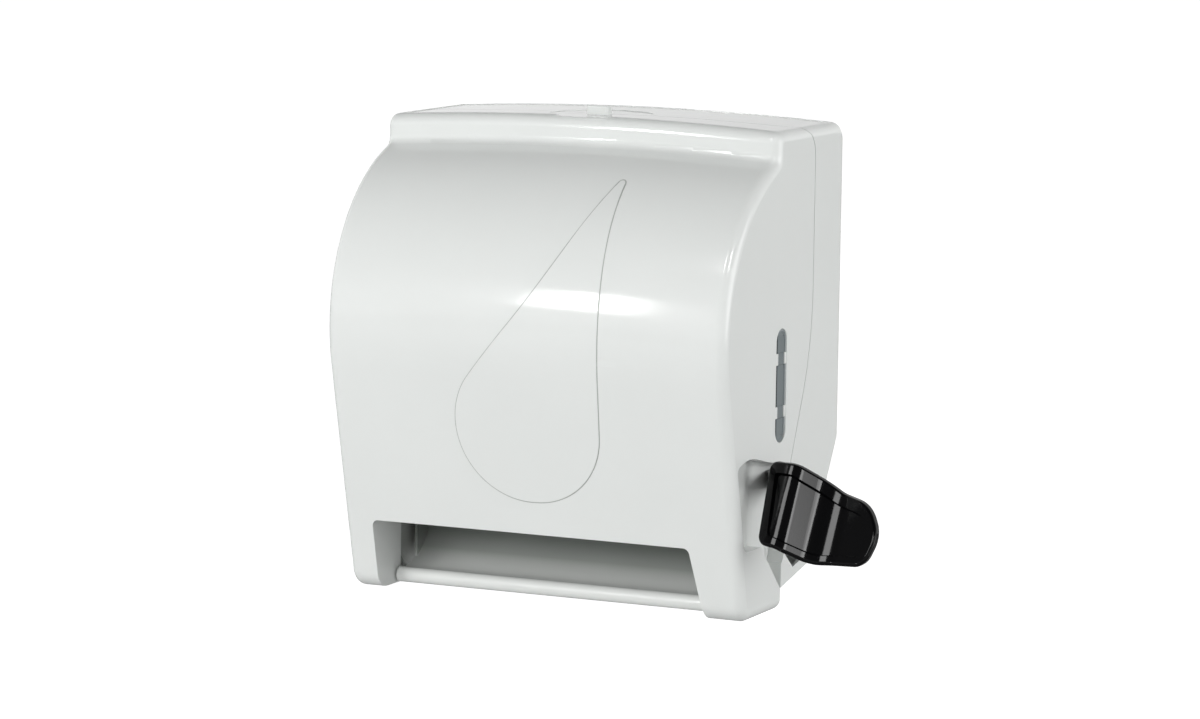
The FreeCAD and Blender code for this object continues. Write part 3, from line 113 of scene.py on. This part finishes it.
def ramp(tree, source, low, high, start=0.3, end=0.7):
    """Colour ramp between two colours or greys."""
    node = tree.nodes.new("ShaderNodeValToRGB")
    node.color_ramp.elements[0].position = start
    node.color_ramp.elements[1].position = end
    node.color_ramp.elements[0].color = (*low, 1.0)
    node.color_ramp.elements[1].color = (*high, 1.0)
    tree.links.new(source.outputs["Fac"], node.inputs["Fac"])
    return node


def bump(tree, source, strength, distance, below=None):
    """Bump from a texture's factor, on top of another bump."""
    node = tree.nodes.new("ShaderNodeBump")
    node.inputs["Strength"].default_value = strength
    node.inputs["Distance"].default_value = distance
    tree.links.new(source.outputs["Fac"], node.inputs["Height"])
    if below:
        tree.links.new(below.outputs["Normal"], node.inputs["Normal"])
    return node


def moulded_plastic(name, colour, roughness, peel=0.06, grain=900.0, spread=0.02, scratch=0.0):
    """Moulded plastic: faint flow tint, uneven gloss, fine rub marks and orange peel."""
    made, tree, shader = material(name, colour, roughness)
    darker = tuple(channel * (1.0 - spread) for channel in colour)
    tint = ramp(tree, noise(tree, scale=9.0, detail=3.0), darker, colour)
    tree.links.new(tint.outputs["Color"], shader.inputs["Base Color"])
    shiny = (roughness * 0.85,) * 3
    dull = (roughness * 1.2,) * 3
    gloss = ramp(tree, noise(tree, scale=40.0, detail=4.0), shiny, dull)
    tree.links.new(gloss.outputs["Color"], shader.inputs["Roughness"])
    relief = bump(tree, noise(tree, scale=grain, detail=2.0), peel, distance=0.0002)
    if scratch:
        rubs = noise(tree, scale=160.0, detail=5.0, stretch=(0.12, 1.0, 1.0))
        relief = bump(tree, rubs, scratch, distance=0.0001, below=relief)
    tree.links.new(relief.outputs["Normal"], shader.inputs["Normal"])
    return made, tree, shader


def shade_along(tree, axis, stops):
    """Colours in turn along one object axis; each stop is a place in metres and a colour."""
    start, first = stops[0]
    end, last = stops[-1]
    place = tree.nodes.new("ShaderNodeTexCoord")
    parts = tree.nodes.new("ShaderNodeSeparateXYZ")
    reach = tree.nodes.new("ShaderNodeMapRange")
    reach.inputs["From Min"].default_value = start
    reach.inputs["From Max"].default_value = end
    shades = tree.nodes.new("ShaderNodeValToRGB")
    band = shades.color_ramp.elements
    band[0].position = 0.0
    band[0].color = (*first, 1.0)
    band[1].position = 1.0
    band[1].color = (*last, 1.0)
    for where, colour in stops[1:-1]:
        stop = band.new((where - start) / (end - start))
        stop.color = (*colour, 1.0)
    tree.links.new(place.outputs["Object"], parts.inputs["Vector"])
    tree.links.new(parts.outputs[axis], reach.inputs["Value"])
    tree.links.new(reach.outputs["Result"], shades.inputs["Fac"])
    return shades


def smoked_lens():
    """Smoked clear plastic, with painted shade along its near edge and a painted highlight along
    its far rim.
    """
    # painted shade for the near edge, the smoke's own tint, and a lighter colour as the painted
    # highlight of the far rim
    painted_edge_shade = (0.035, 0.046, 0.048)
    smoke = (0.200, 0.232, 0.240)
    clear = (0.48, 0.52, 0.53)
    made, tree, shader = moulded_plastic(
        "smoked lens", smoke, roughness=0.12, peel=0.03, scratch=0.05)
    low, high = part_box("window_lens")
    near = low.y + LENS_FLANGE
    far = high.y - LENS_FLANGE
    painted_edge_shade_end = near + 2.6 * MM
    smoke_start = near + 3.4 * MM
    smoke_end = far - 2.2 * MM
    painted_highlight_start = far - 1.4 * MM
    # the stops run from painted shade at the near edge through the smoke to a painted highlight at
    # the far rim
    stops = [(near, painted_edge_shade), (painted_edge_shade_end, painted_edge_shade), (smoke_start, smoke),
             (smoke_end, smoke), (painted_highlight_start, clear), (far, clear)]
    shades = shade_along(tree, "Y", stops)
    tree.links.new(shades.outputs["Color"], shader.inputs["Base Color"])
    shader.inputs["Transmission Weight"].default_value = 0.08
    shader.inputs["IOR"].default_value = 1.49
    return made


def chute_plastic():
    """White plastic of the chute, with painted shade that darkens it up in the slot."""
    made, tree, shader = moulded_plastic(
        "chute abs", (0.60, 0.62, 0.60), roughness=0.22, peel=0.06, scratch=0.06)
    # The first colour is the plastic's own white; the two after it are painted shade, darker up in
    # the slot where shade falls.
    chute_white = (0.78, 0.80, 0.78)
    middle = (0.34, 0.36, 0.34)
    painted_slot_shade = (0.20, 0.215, 0.20)
    low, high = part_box("paper_chute")
    lip = low.z + 12.0 * MM
    throat = low.z + 23.0 * MM
    inside = low.z + 36.0 * MM
    stops = [(low.z, chute_white), (lip, chute_white), (throat, middle), (inside, painted_slot_shade), (high.z, painted_slot_shade)]
    shades = shade_along(tree, "Z", stops)
    tree.links.new(shades.outputs["Color"], shader.inputs["Base Color"])
    return made


def grip_rubber():
    """Dark rubber with the fine rings that grip the paper."""
    made, tree, shader = moulded_plastic(
        "grip rubber", (0.030, 0.030, 0.032), roughness=0.7, peel=0.3, grain=1500.0, spread=0.25)
    grains = shader.inputs["Normal"].links[0].from_node
    ridges = waves(tree, scale=110.0, axis="X", distortion=0.3)
    rings = bump(tree, ridges, strength=0.5, distance=0.0004, below=grains)
    tree.links.new(rings.outputs["Normal"], shader.inputs["Normal"])
    return made


def brushed_steel():
    """Bright steel with fine drawing lines along the width."""
    made, tree, shader = material(
        "bright steel", (0.62, 0.62, 0.63), roughness=0.25, metallic=1.0)
    lines = noise(tree, scale=300.0, detail=3.0, stretch=(0.05, 1.0, 1.0))
    gloss = ramp(tree, lines, (0.18,) * 3, (0.34,) * 3)
    tree.links.new(gloss.outputs["Color"], shader.inputs["Roughness"])
    clouds = noise(tree, scale=25.0, detail=4.0)
    stain = ramp(tree, clouds, (0.55, 0.55, 0.56), (0.64, 0.64, 0.65))
    tree.links.new(stain.outputs["Color"], shader.inputs["Base Color"])
    relief = bump(tree, lines, strength=0.08, distance=0.0001)
    tree.links.new(relief.outputs["Normal"], shader.inputs["Normal"])
    return made


def lever_plastic():
    """Black plastic with a quiet, deep gloss."""
    made, _, shader = moulded_plastic(
        "black gloss abs", (0.002, 0.002, 0.0024), roughness=0.07, peel=0.02, spread=0.3,
        scratch=0.04)
    shader.inputs["Specular IOR Level"].default_value = 0.15
    return made


def make_finishes():
    """Finish for each of the record's slots, and two more, both with painted shade, for the chute
    and the drop's line.
    """
    case = moulded_plastic(
        "white gloss abs", (0.800, 0.822, 0.806), roughness=0.10, peel=0.05, scratch=0.03)
    inner = moulded_plastic(
        "grey acetal", (0.42, 0.44, 0.42), roughness=0.36, peel=0.12, spread=0.04)
    gear = moulded_plastic(
        "natural acetal", (0.66, 0.65, 0.57), roughness=0.34, peel=0.1, spread=0.06, scratch=0.08)
    # painted shade: this grey stands for the shadow in the groove round the drop
    groove = moulded_plastic(
        "shaded groove abs", (0.42, 0.44, 0.42), roughness=0.3, peel=0.05)
    return {
        "case": case[0],
        "frame": inner[0],
        "gear": gear[0],
        "lever": lever_plastic(),
        "rubber": grip_rubber(),
        "lens": smoked_lens(),
        "steel": brushed_steel(),
        "chute": chute_plastic(),
        "groove": groove[0],
    }


def dress_nodes(finishes):
    """Give each node its slot's finish; the chute has one of its own, with painted shade."""
    slots = {part["node"]: part["material_slot"] for part in frame["record"]["subparts"]}
    slots["paper_chute"] = "chute"
    for name, node in frame["nodes"].items():
        for slot in node.material_slots:
            slot.material = finishes[slots[name]]


# ---------------------------------------------------------------- shop work


def only(piece):
    """Deselect everything, then pick one object."""
    bpy.ops.object.select_all(action="DESELECT")
    piece.select_set(True)
    bpy.context.view_layer.objects.active = piece


def placed(name, data):
    """A new object for a mesh, a lamp or a camera, linked into the scene."""
    made = bpy.data.objects.new(name, data)
    bpy.context.collection.objects.link(made)
    return made


def edit(piece, picks, kind="FACE"):
    """Enter edit mode with only those elements chosen that pass the test."""
    only(piece)
    bpy.ops.object.mode_set(mode="EDIT")
    bpy.ops.mesh.select_mode(type=kind)
    bpy.ops.mesh.select_all(action="DESELECT")
    bpy.ops.object.mode_set(mode="OBJECT")
    mesh = piece.data
    elements = mesh.polygons if kind == "FACE" else mesh.edges
    for element in elements:
        element.select = picks(mesh, element)
    bpy.ops.object.mode_set(mode="EDIT")


def done():
    """Leave edit mode."""
    bpy.ops.object.mode_set(mode="OBJECT")


def ends(mesh, edge):
    """The two end points of an edge."""
    return [mesh.vertices[index].co for index in edge.vertices]


def block(name, low, high):
    """A block between two corners, with its place in its mesh."""
    middle = [(a + b) / 2 for a, b in zip(low, high)]
    bpy.ops.object.select_all(action="DESELECT")
    bpy.ops.mesh.primitive_cube_add(size=1.0, location=middle)
    piece = bpy.context.active_object
    piece.name = name
    piece.scale = [b - a for a, b in zip(low, high)]
    bpy.ops.object.transform_apply(location=True, rotation=True, scale=True)
    return piece


def cut_with(piece, tool):
    """Cut a tool out of a piece and throw the tool away."""
    only(piece)
    modifier = piece.modifiers.new("cut", "BOOLEAN")
    modifier.operation = "DIFFERENCE"
    modifier.solver = "EXACT"
    modifier.object = tool
    bpy.ops.object.modifier_apply(modifier=modifier.name)
    bpy.data.objects.remove(tool)


def merge(pieces, name):
    """Join pieces into one object."""
    bpy.ops.object.select_all(action="DESELECT")
    for piece in pieces:
        piece.select_set(True)
    bpy.context.view_layer.objects.active = pieces[0]
    if len(pieces) > 1:
        bpy.ops.object.join()
    joined = bpy.context.active_object
    joined.name = name
    return joined


def smooth(piece, degrees):
    """Smooth shading with hard edges past an angle."""
    only(piece)
    bpy.ops.object.shade_smooth_by_angle(angle=math.radians(degrees))


def fit_out(piece, slot, body, finishes):
    """Give a piece its slot and the slot's finish, and let it ride on its body."""
    piece.data.materials.clear()
    piece.data.materials.append(finishes[slot])
    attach(piece, body)


def copies(pattern, name, spots, turn=0.0):
    """Copy a piece to each spot, turned about Z, and join the copies."""
    made = []
    for spot in spots:
        copy = placed(name, pattern.data.copy())
        copy.rotation_euler = (0.0, 0.0, turn)
        copy.location = spot
        only(copy)
        bpy.ops.object.transform_apply(location=True, rotation=True, scale=True)
        made.append(copy)
    return merge(made, name)


# ---------------------------------------------------------------- level window


END_SHARE = 0.995
CUT_PAST = 2 * MM
LENS_BACK = 1.5 * MM
RIM_WIDTH = 0.6 * MM
RIM_RISE = 0.3 * MM
FIELD_BORDER = 2.4 * MM
FIELD_SPLIT = 0.3 * MM
FIELD_SINK = 0.5 * MM
FIELD_SLOPE = 2.2 * MM
FIELD_CROWN = 0.2 * MM
CLIP_LEVELS = (11.0 * MM, -29.3 * MM)
CLIP_HALF = 4.65 * MM
CLIP_NEAR = 4.6 * MM
CLIP_FAR = 3.4 * MM
CLIP_TUCK = 0.3 * MM
CLIP_GAP = 0.25 * MM
CLIP_RISE = 0.5 * MM
CLIP_ROUND = 0.35 * MM


def capsule(name, low, high):
    """Upright slab along Y and Z with its two ends rounded almost to a half circle."""
    piece = block(name, low, high)
    radius = (high[1] - low[1]) / 2 * END_SHARE

    def along_x(mesh, edge):
        first, second = ends(mesh, edge)
        return abs(first.y - second.y) + abs(first.z - second.z) < SLIGHT

    edit(piece, along_x, "EDGE")
    bpy.ops.mesh.bevel(offset=radius, segments=10, affect="EDGES")
    done()
    return piece


def make_window():
    """Level window: flanged pane with a raised rim, clip notches and five sunk fields."""
    low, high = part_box("window_lens")
    step = low.x + LENS_BACK
    near = low.y + LENS_FLANGE
    far = high.y - LENS_FLANGE
    flange = capsule("lens_flange", low, (step, high.y, high.z))
    foot = (step, near, low.z + LENS_FLANGE)
    pane = capsule("lens_pane", foot, (high.x, far, high.z - LENS_FLANGE))
    for level in CLIP_LEVELS:
        for edge in (level - CLIP_HALF, level + CLIP_HALF):
            edit(pane, lambda mesh, face: True)
            bpy.ops.mesh.bisect(plane_co=(0.0, 0.0, edge), plane_no=(0.0, 0.0, 1.0))
            done()
    edit(pane, lambda mesh, face: face.normal.x > 0.9 and face.center.x > step + 0.5 * MM)
    bpy.ops.mesh.inset(thickness=RIM_WIDTH, use_individual=False)
    bpy.ops.transform.translate(value=(RIM_RISE, 0.0, 0.0))
    bpy.ops.mesh.inset(thickness=FIELD_BORDER, use_individual=False)
    bpy.ops.mesh.inset(thickness=FIELD_SPLIT, use_individual=True)
    bpy.ops.transform.translate(value=(-FIELD_SINK, 0.0, 0.0))
    bpy.ops.mesh.inset(thickness=FIELD_SLOPE, use_individual=False)
    bpy.ops.transform.translate(value=(FIELD_CROWN, 0.0, 0.0))
    done()
    notches = []
    for level in CLIP_LEVELS:
        for first, last in ((near - CUT_PAST, near + CLIP_NEAR), (far - CLIP_FAR, far + CUT_PAST)):
            corner = (step, first, level - CLIP_HALF)
            notches.append(block("notch", corner, (high.x + CUT_PAST, last, level + CLIP_HALF)))
    cut_with(pane, merge(notches, "notches"))
    lens = merge([pane, flange], "window_pane")
    smooth(lens, 28.0)
    return lens


def make_lens_clips():
    """Pads of the four clips, flush with the cover's side, that hold the lens down."""
    low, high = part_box("window_lens")
    near = low.y + LENS_FLANGE - CLIP_TUCK
    far = high.y - LENS_FLANGE + CLIP_TUCK
    pads = []
    for level in CLIP_LEVELS:
        foot = level - CLIP_HALF + CLIP_GAP
        head = level + CLIP_HALF - CLIP_GAP
        for first, last in ((near, near + CLIP_NEAR), (far - CLIP_FAR, far)):
            corner = (low.x + LENS_BACK, first, foot)
            pads.append(block("pad", corner, (high.x + CLIP_RISE, last, head)))
    clips = merge(pads, "lens_clips")
    edit(clips, lambda mesh, edge: True, "EDGE")
    bpy.ops.mesh.bevel(offset=CLIP_ROUND, segments=3, affect="EDGES")
    done()
    smooth(clips, 40.0)
    return clips


# ---------------------------------------------------------------- drop outline


GROOVE_RADIUS = 0.66 * MM
GROOVE_SINK = 0.3 * MM
LAYING_DISTANCE = 20.0 * MM
SAME_POINT = 0.2 * MM
LONGEST_SPANS = (64 * MM, 32 * MM, 16 * MM, 8 * MM, 4 * MM)


def rounded_outline(corners, steps=24):
    """Points along an outline whose corners are given as x, z and radius."""
    points = []
    count = len(corners)
    for number, (x, z, radius) in enumerate(corners):
        here = Vector((x, z))
        before = Vector(corners[number - 1][:2])
        after = Vector(corners[(number + 1) % count][:2])
        back = (before - here).normalized()
        ahead = (after - here).normalized()
        half = back.angle(ahead) / 2
        reach = radius / math.tan(half)
        middle = here + (back + ahead).normalized() * (radius / math.sin(half))
        start = here + back * reach - middle
        sweep = start.angle_signed(here + ahead * reach - middle)
        for step in range(steps + 1):
            turn = -sweep * step / steps
            spoke = Vector((start.x * math.cos(turn) - start.y * math.sin(turn),
                            start.x * math.sin(turn) + start.y * math.cos(turn)))
            points.append(middle + spoke)
    return points


def drop_corners():
    """Corners of the drop in millimetres: a tip, two long flanks and a round belly."""
    left, right, foot = -60.4, 55.6, -99.7
    belly = (right - left) / 2 - 0.02
    hollow = 7 * belly
    swell = 15 * belly
    tip_x, tip_z, tip = 58.5, 152.0, 3.0
    return [
        (tip_x, tip_z, tip),
        (12.0, 66.0, hollow),
        (left, foot + 1.37 * belly, belly),
        (left, foot, belly),
        (right, foot, belly),
        (tip_x + 4.5, foot + 2.41 * belly, swell),
    ]


def edge_length(mesh, edge):
    """Length of one edge of a mesh."""
    first, last = ends(mesh, edge)
    return (first - last).length


def make_drop_groove():
    """Fine bead round the foot of the raised drop, laid on the cover's front; its grey finish is
    painted shade.
    """
    points = rounded_outline(drop_corners())
    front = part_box("front_cover")[0].y - LAYING_DISTANCE
    mesh = bpy.data.meshes.new("drop_groove")
    places = [(point.x * MM, front, point.y * MM) for point in points]
    pairs = [(number, (number + 1) % len(places)) for number in range(len(places))]
    mesh.from_pydata(places, pairs, [])
    line = placed("drop_groove", mesh)
    only(line)
    bpy.ops.object.mode_set(mode="EDIT")
    bpy.ops.mesh.select_all(action="SELECT")
    bpy.ops.mesh.remove_doubles(threshold=SAME_POINT)
    done()
    for longest in LONGEST_SPANS:
        edit(line, lambda mesh, edge: edge_length(mesh, edge) > longest, "EDGE")
        bpy.ops.mesh.subdivide(number_cuts=1)
        done()
    wrap = line.modifiers.new("lay", "SHRINKWRAP")
    wrap.target = frame["nodes"]["front_cover"]
    wrap.wrap_method = "PROJECT"
    wrap.use_project_y = True
    wrap.use_negative_direction = False
    wrap.use_positive_direction = True
    bpy.ops.object.modifier_apply(modifier=wrap.name)
    bpy.ops.transform.translate(value=(0.0, GROOVE_SINK, 0.0))
    bpy.ops.object.transform_apply(location=True, rotation=True, scale=True)
    bpy.ops.object.convert(target="CURVE")
    line.data.bevel_depth = GROOVE_RADIUS
    line.data.bevel_resolution = 2
    bpy.ops.object.convert(target="MESH")
    smooth(line, 60.0)
    return line


# ---------------------------------------------------------------- fasteners


WALL_SIDE = -6.0 * MM
INSET_LEFT = 4.0 * MM
INSET_RIGHT = 7.0 * MM
PLATE_DROPS = (6.5 * MM, 19.5 * MM)
ARM_LEVELS = (22.0 * MM, 58.0 * MM)
BRACKET_LEVELS = (24.0 * MM, 56.0 * MM)
GUARD_POSTS = ((-145.0 * MM, -122.0 * MM), (-72.0 * MM, -60.0 * MM), (-70.0 * MM, -118.0 * MM))
RIVET_RADIUS = 2.2 * MM
RIVET_HEIGHT = 0.35
RIVET_PITCH = 58.0 * MM
RIVET_INSET = 3.2 * MM
RING_WIDTH = 2.4 * MM
RING_THICKNESS = 0.8 * MM
RING_EDGE = 0.12 * MM
RING_INSET = 7.2 * MM


def pan_screw(radius, height):
    """Pan-head screw with a cross recess, its seat at the origin, facing -Y."""
    bpy.ops.object.select_all(action="DESELECT")
    bpy.ops.mesh.primitive_cylinder_add(vertices=28, radius=radius, depth=height,
                                        location=(0.0, -height / 2, 0.0),
                                        rotation=(math.radians(90.0), 0.0, 0.0))
    screw = bpy.context.active_object
    bpy.ops.object.transform_apply(location=True, rotation=True, scale=True)

    def rim(mesh, edge):
        return all(abs(point.y + height) < SLIGHT for point in ends(mesh, edge))

    edit(screw, rim, "EDGE")
    bpy.ops.mesh.bevel(offset=height * 0.55, segments=4, affect="EDGES")
    done()
    arm = radius * 0.55
    slit = radius * 0.13
    top = -height * 1.2
    floor = -height * 0.45
    cut_with(screw, block("slot", (-arm, top, -slit), (arm, floor, slit)))
    cut_with(screw, block("slot", (-slit, top, -arm), (slit, floor, arm)))
    smooth(screw, 30.0)
    return screw


def make_screws():
    """Screws that hold the frame, the roll arms and the gear guard."""
    large = pan_screw(radius=3.1 * MM, height=2.0 * MM)
    small = pan_screw(radius=2.5 * MM, height=1.6 * MM)
    plate_low, plate_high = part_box("side_plate_left")
    guard_low, guard_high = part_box("gear_cover")
    arm_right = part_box("roll_arm_right")[1].x - INSET_RIGHT
    bracket_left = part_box("arm_bracket")[0].x + INSET_LEFT
    spots = [(x, WALL_SIDE, plate_high.z - drop)
             for x in (plate_low.x + INSET_LEFT, guard_low.x - INSET_RIGHT)
             for drop in PLATE_DROPS]
    spots += [(arm_right, WALL_SIDE, level) for level in ARM_LEVELS]
    spots += [(bracket_left, WALL_SIDE, level) for level in BRACKET_LEVELS]
    wall = copies(large, "frame_screws", spots)
    spots = [(guard_high.x, y, z) for y, z in GUARD_POSTS]
    guard = copies(small, "guard_screws", spots, math.radians(90.0))
    for pattern in (large, small):
        bpy.data.objects.remove(pattern)
    return wall, guard


def make_rivets():
    """Low rivets that hold the blade on its beam."""
    low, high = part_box("tear_bar")
    bpy.ops.object.select_all(action="DESELECT")
    bpy.ops.mesh.primitive_uv_sphere_add(segments=24, ring_count=12, radius=RIVET_RADIUS)
    rivet = bpy.context.active_object
    rivet.scale = (1.0, RIVET_HEIGHT, 1.0)
    bpy.ops.object.transform_apply(location=True, rotation=True, scale=True)
    edit(rivet, lambda mesh, face: True)
    bpy.ops.mesh.bisect(plane_co=(0.0, 0.0, 0.0), plane_no=(0.0, 1.0, 0.0),
                        clear_outer=True, use_fill=True)
    done()
    smooth(rivet, 30.0)
    middle = (low.x + high.x) / 2
    level = high.z - RIVET_INSET
    spots = [(middle + step * RIVET_PITCH, low.y, level) for step in (-2, -1, 0, 1, 2)]
    rivets = copies(rivet, "blade_rivets", spots)
    bpy.data.objects.remove(rivet)
    return rivets


def clip_ring(name, place, bore):
    """Flat snap ring with a gap below, round a shaft along X."""
    bpy.ops.object.select_all(action="DESELECT")
    bpy.ops.mesh.primitive_cylinder_add(vertices=40, radius=bore + RING_WIDTH,
                                        depth=RING_THICKNESS, location=place,
                                        rotation=(0.0, math.radians(90.0), 0.0))
    ring = bpy.context.active_object
    ring.name = name
    bpy.ops.object.transform_apply(location=True, rotation=True, scale=True)
    edit(ring, lambda mesh, face: abs(face.normal.x) > 0.9)
    bpy.ops.mesh.inset(thickness=RING_WIDTH, use_individual=True)
    bpy.ops.mesh.bridge_edge_loops()
    done()
    gap = bore * 0.55
    x, y, z = place
    foot = (x - MM, y - gap, z - bore * 3)
    cut_with(ring, block("gap", foot, (x + MM, y + gap, z - bore * 0.6)))
    only(ring)
    modifier = ring.modifiers.new("edges", "BEVEL")
    modifier.width = RING_EDGE
    modifier.segments = 2
    modifier.angle_limit = math.radians(40.0)
    bpy.ops.object.modifier_apply(modifier=modifier.name)
    smooth(ring, 35.0)
    return ring


def make_clips():
    """Snap rings that keep each roller's shaft between the side plates."""
    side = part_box("side_plate_left")[0].x + RING_INSET
    rings = []
    for shaft in ("drive_shaft", "pressure_shaft"):
        first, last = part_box(shaft)
        bore = (last.y - first.y) / 2
        place = (side, (first.y + last.y) / 2, (first.z + last.z) / 2)
        rings.append(clip_ring(shaft + "_clip", place, bore))
    return rings


def make_latch_coil(finishes):
    """The latch spring again, as a piece of its own that rides on the chassis."""
    node = frame["nodes"]["latch_spring"]
    coil = placed("latch_coil", node.data.copy())
    coil.matrix_world = node.matrix_world
    only(coil)
    bpy.ops.object.transform_apply(location=True, rotation=True, scale=True)
    fit_out(coil, "steel", "chassis", finishes)
    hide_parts("latch_spring")
    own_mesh(coil)


def make_pieces(finishes):
    """Make every piece that the frame leaves to this script and seat it on its body."""
    lens = make_window()
    fit_out(lens, "lens", "cover", finishes)
    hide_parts("window_lens")
    fit_out(make_lens_clips(), "case", "cover", finishes)
    groove = make_drop_groove()
    fit_out(groove, "case", "cover", finishes)
    # The line is part of the case; its grey is painted shade that stands for the shadow in the
    # groove.
    groove.data.materials[0] = finishes["groove"]
    make_latch_coil(finishes)
    wall, guard = make_screws()
    fit_out(wall, "steel", "chassis", finishes)
    fit_out(guard, "steel", "chassis", finishes)
    fit_out(make_rivets(), "steel", "chassis", finishes)
    drive, pressure = make_clips()
    fit_out(drive, "steel", "drive_roller", finishes)
    fit_out(pressure, "steel", "pressure_roller", finishes)


# ---------------------------------------------------------------- studio


WHITE = 1.0
FLOOR_DROP = 0.15
FLOOR_SIZE = 40.0
FLOOR_GLOW = 0.84
HORIZON_LIGHT = 0.96
OVERHEAD_LIGHT = 0.08
CASE_MIDDLE = Vector((0.0, -0.15, 0.0))
LEVER_MIDDLE = Vector((0.215, -0.165, -0.095))


def seen_rays(tree):
    """One where the ray comes straight from the camera or through clear plastic."""
    paths = tree.nodes.new("ShaderNodeLightPath")
    step = tree.nodes.new("ShaderNodeMath")
    step.operation = "MAXIMUM"
    tree.links.new(paths.outputs["Is Camera Ray"], step.inputs[0])
    tree.links.new(paths.outputs["Is Transmission Ray"], step.inputs[1])
    return step.outputs["Value"]


def by_ray(tree, seen, light=None):
    """Strength for the rays that are seen, and another, nought unless given, for light."""
    mix = tree.nodes.new("ShaderNodeMix")
    mix.inputs[2].default_value = 0.0
    mix.inputs[3].default_value = seen
    tree.links.new(seen_rays(tree), mix.inputs[0])
    if light:
        tree.links.new(light, mix.inputs[2])
    return mix.outputs[0]


def floor_paper():
    """White paper that stays white to the eye and still takes the shadow."""
    made, tree, shader = material("floor paper", (0.60, 0.60, 0.60), roughness=0.9)
    shader.inputs["Specular IOR Level"].default_value = 0.0
    fibre = bump(tree, noise(tree, scale=60.0, detail=4.0), strength=0.05, distance=0.0005)
    tree.links.new(fibre.outputs["Normal"], shader.inputs["Normal"])
    shader.inputs["Emission Color"].default_value = (1.0, 1.0, 1.0, 1.0)
    tree.links.new(by_ray(tree, FLOOR_GLOW), shader.inputs["Emission Strength"])
    return made


def sky_light(tree):
    """Light of the surround, strongest at the horizon and weak overhead."""
    place = tree.nodes.new("ShaderNodeTexCoord")
    parts = tree.nodes.new("ShaderNodeSeparateXYZ")
    fall = tree.nodes.new("ShaderNodeMapRange")
    fall.interpolation_type = "SMOOTHSTEP"
    fall.inputs["To Min"].default_value = HORIZON_LIGHT
    fall.inputs["To Max"].default_value = OVERHEAD_LIGHT
    tree.links.new(place.outputs["Generated"], parts.inputs["Vector"])
    tree.links.new(parts.outputs["Z"], fall.inputs["Value"])
    return fall.outputs["Result"]


def studio():
    """White floor well below the wall-hung case, and a white surround."""
    level = cad_box[0][2] - FLOOR_DROP
    bpy.ops.object.select_all(action="DESELECT")
    bpy.ops.mesh.primitive_plane_add(size=FLOOR_SIZE, location=(0.0, 0.0, level))
    floor = bpy.context.active_object
    floor.name = "floor"
    bpy.ops.object.transform_apply(location=True, rotation=True, scale=True)
    floor.data.materials.append(floor_paper())
    world = bpy.data.worlds.new("studio")
    bpy.context.scene.world = world
    world.use_nodes = True
    tree = world.node_tree
    background = tree.nodes["Background"]
    background.inputs["Color"].default_value = (1.0, 1.0, 1.0, 1.0)
    tree.links.new(by_ray(tree, WHITE, sky_light(tree)), background.inputs["Strength"])


def lamp(name, place, aim, size, power):
    """Rectangular soft lamp aimed at a point."""
    data = bpy.data.lights.new(name, "AREA")
    data.shape = "RECTANGLE"
    data.size, data.size_y = size
    data.energy = power
    made = placed(name, data)
    made.location = place
    made.rotation_euler = (Vector(aim) - Vector(place)).to_track_quat("-Z", "Y").to_euler()
    return made


def grade(light, near, far):
    """Let a lamp's strength run from one edge to the other across its width."""
    light.data.use_nodes = True
    tree = light.data.node_tree
    place = tree.nodes.new("ShaderNodeNewGeometry")
    parts = tree.nodes.new("ShaderNodeSeparateXYZ")
    run = tree.nodes.new("ShaderNodeMapRange")
    run.inputs["To Min"].default_value = near
    run.inputs["To Max"].default_value = far
    tree.links.new(place.outputs["Parametric"], parts.inputs["Vector"])
    tree.links.new(parts.outputs["X"], run.inputs["Value"])
    tree.links.new(run.outputs["Result"], tree.nodes["Emission"].inputs["Strength"])


def toward(azimuth, height, distance):
    """Step from a point in a direction, in degrees; azimuth 0 is the front."""
    azimuth = math.radians(azimuth)
    height = math.radians(height)
    level = math.cos(height) * distance
    return Vector((
        math.sin(azimuth) * level, -math.cos(azimuth) * level, math.sin(height) * distance))


def lamps():
    """Wide soft lamps in front and at the right, and narrow strips for the highlights."""
    front = lamp("front", toward(-18.0, 4.0, 3.6), CASE_MIDDLE, size=(3.2, 2.2), power=79.0)
    front.visible_glossy = False
    lamp("side", toward(95.0, 12.0, 3.4), CASE_MIDDLE, size=(2.6, 2.0), power=50.0)
    lamp("strip", (-0.80, -2.05, 0.52), (0.0, -0.15, 0.05), size=(0.09, 0.36), power=3.4)
    place = LEVER_MIDDLE + toward(-19.0, 47.0, 2.4)
    left = lamp("left_strip", place, LEVER_MIDDLE, size=(0.46, 0.5), power=11.0)
    left.visible_diffuse = False
    place = LEVER_MIDDLE + toward(38.5, 47.0, 2.4)
    right = lamp("right_strip", place, LEVER_MIDDLE, size=(0.38, 0.5), power=7.8)
    right.visible_diffuse = False
    grade(right, near=2.0, far=0.2)


def camera():
    """Camera right of and a little above the dispenser."""
    azimuth = math.radians(24.93)
    height = math.radians(7.496)
    roll = math.radians(0.75)
    distance = 3.4248
    target = Vector((13.476, -117.5, 0.012)) * MM
    level = math.cos(height)
    back = Vector((math.sin(azimuth) * level, -math.cos(azimuth) * level, math.sin(height)))
    right = (-back).cross(Vector((0.0, 0.0, 1.0))).normalized()
    up = right.cross(-back)
    across = right * math.cos(roll) + up * math.sin(roll)
    above = up * math.cos(roll) - right * math.sin(roll)
    data = bpy.data.cameras.new("camera")
    data.lens = 134.27
    data.sensor_width = 36.0
    data.clip_end = 80.0
    made = placed("camera", data)
    turn = Matrix((across, above, back)).transposed().to_4x4()
    made.matrix_world = Matrix.Translation(target + back * distance) @ turn
    bpy.context.scene.camera = made


# ---------------------------------------------------------------- the whole scene


finishes = make_finishes()
dress_nodes(finishes)
make_pieces(finishes)
studio()
lamps()
camera()
bpy.context.scene.view_settings.view_transform = "Standard"
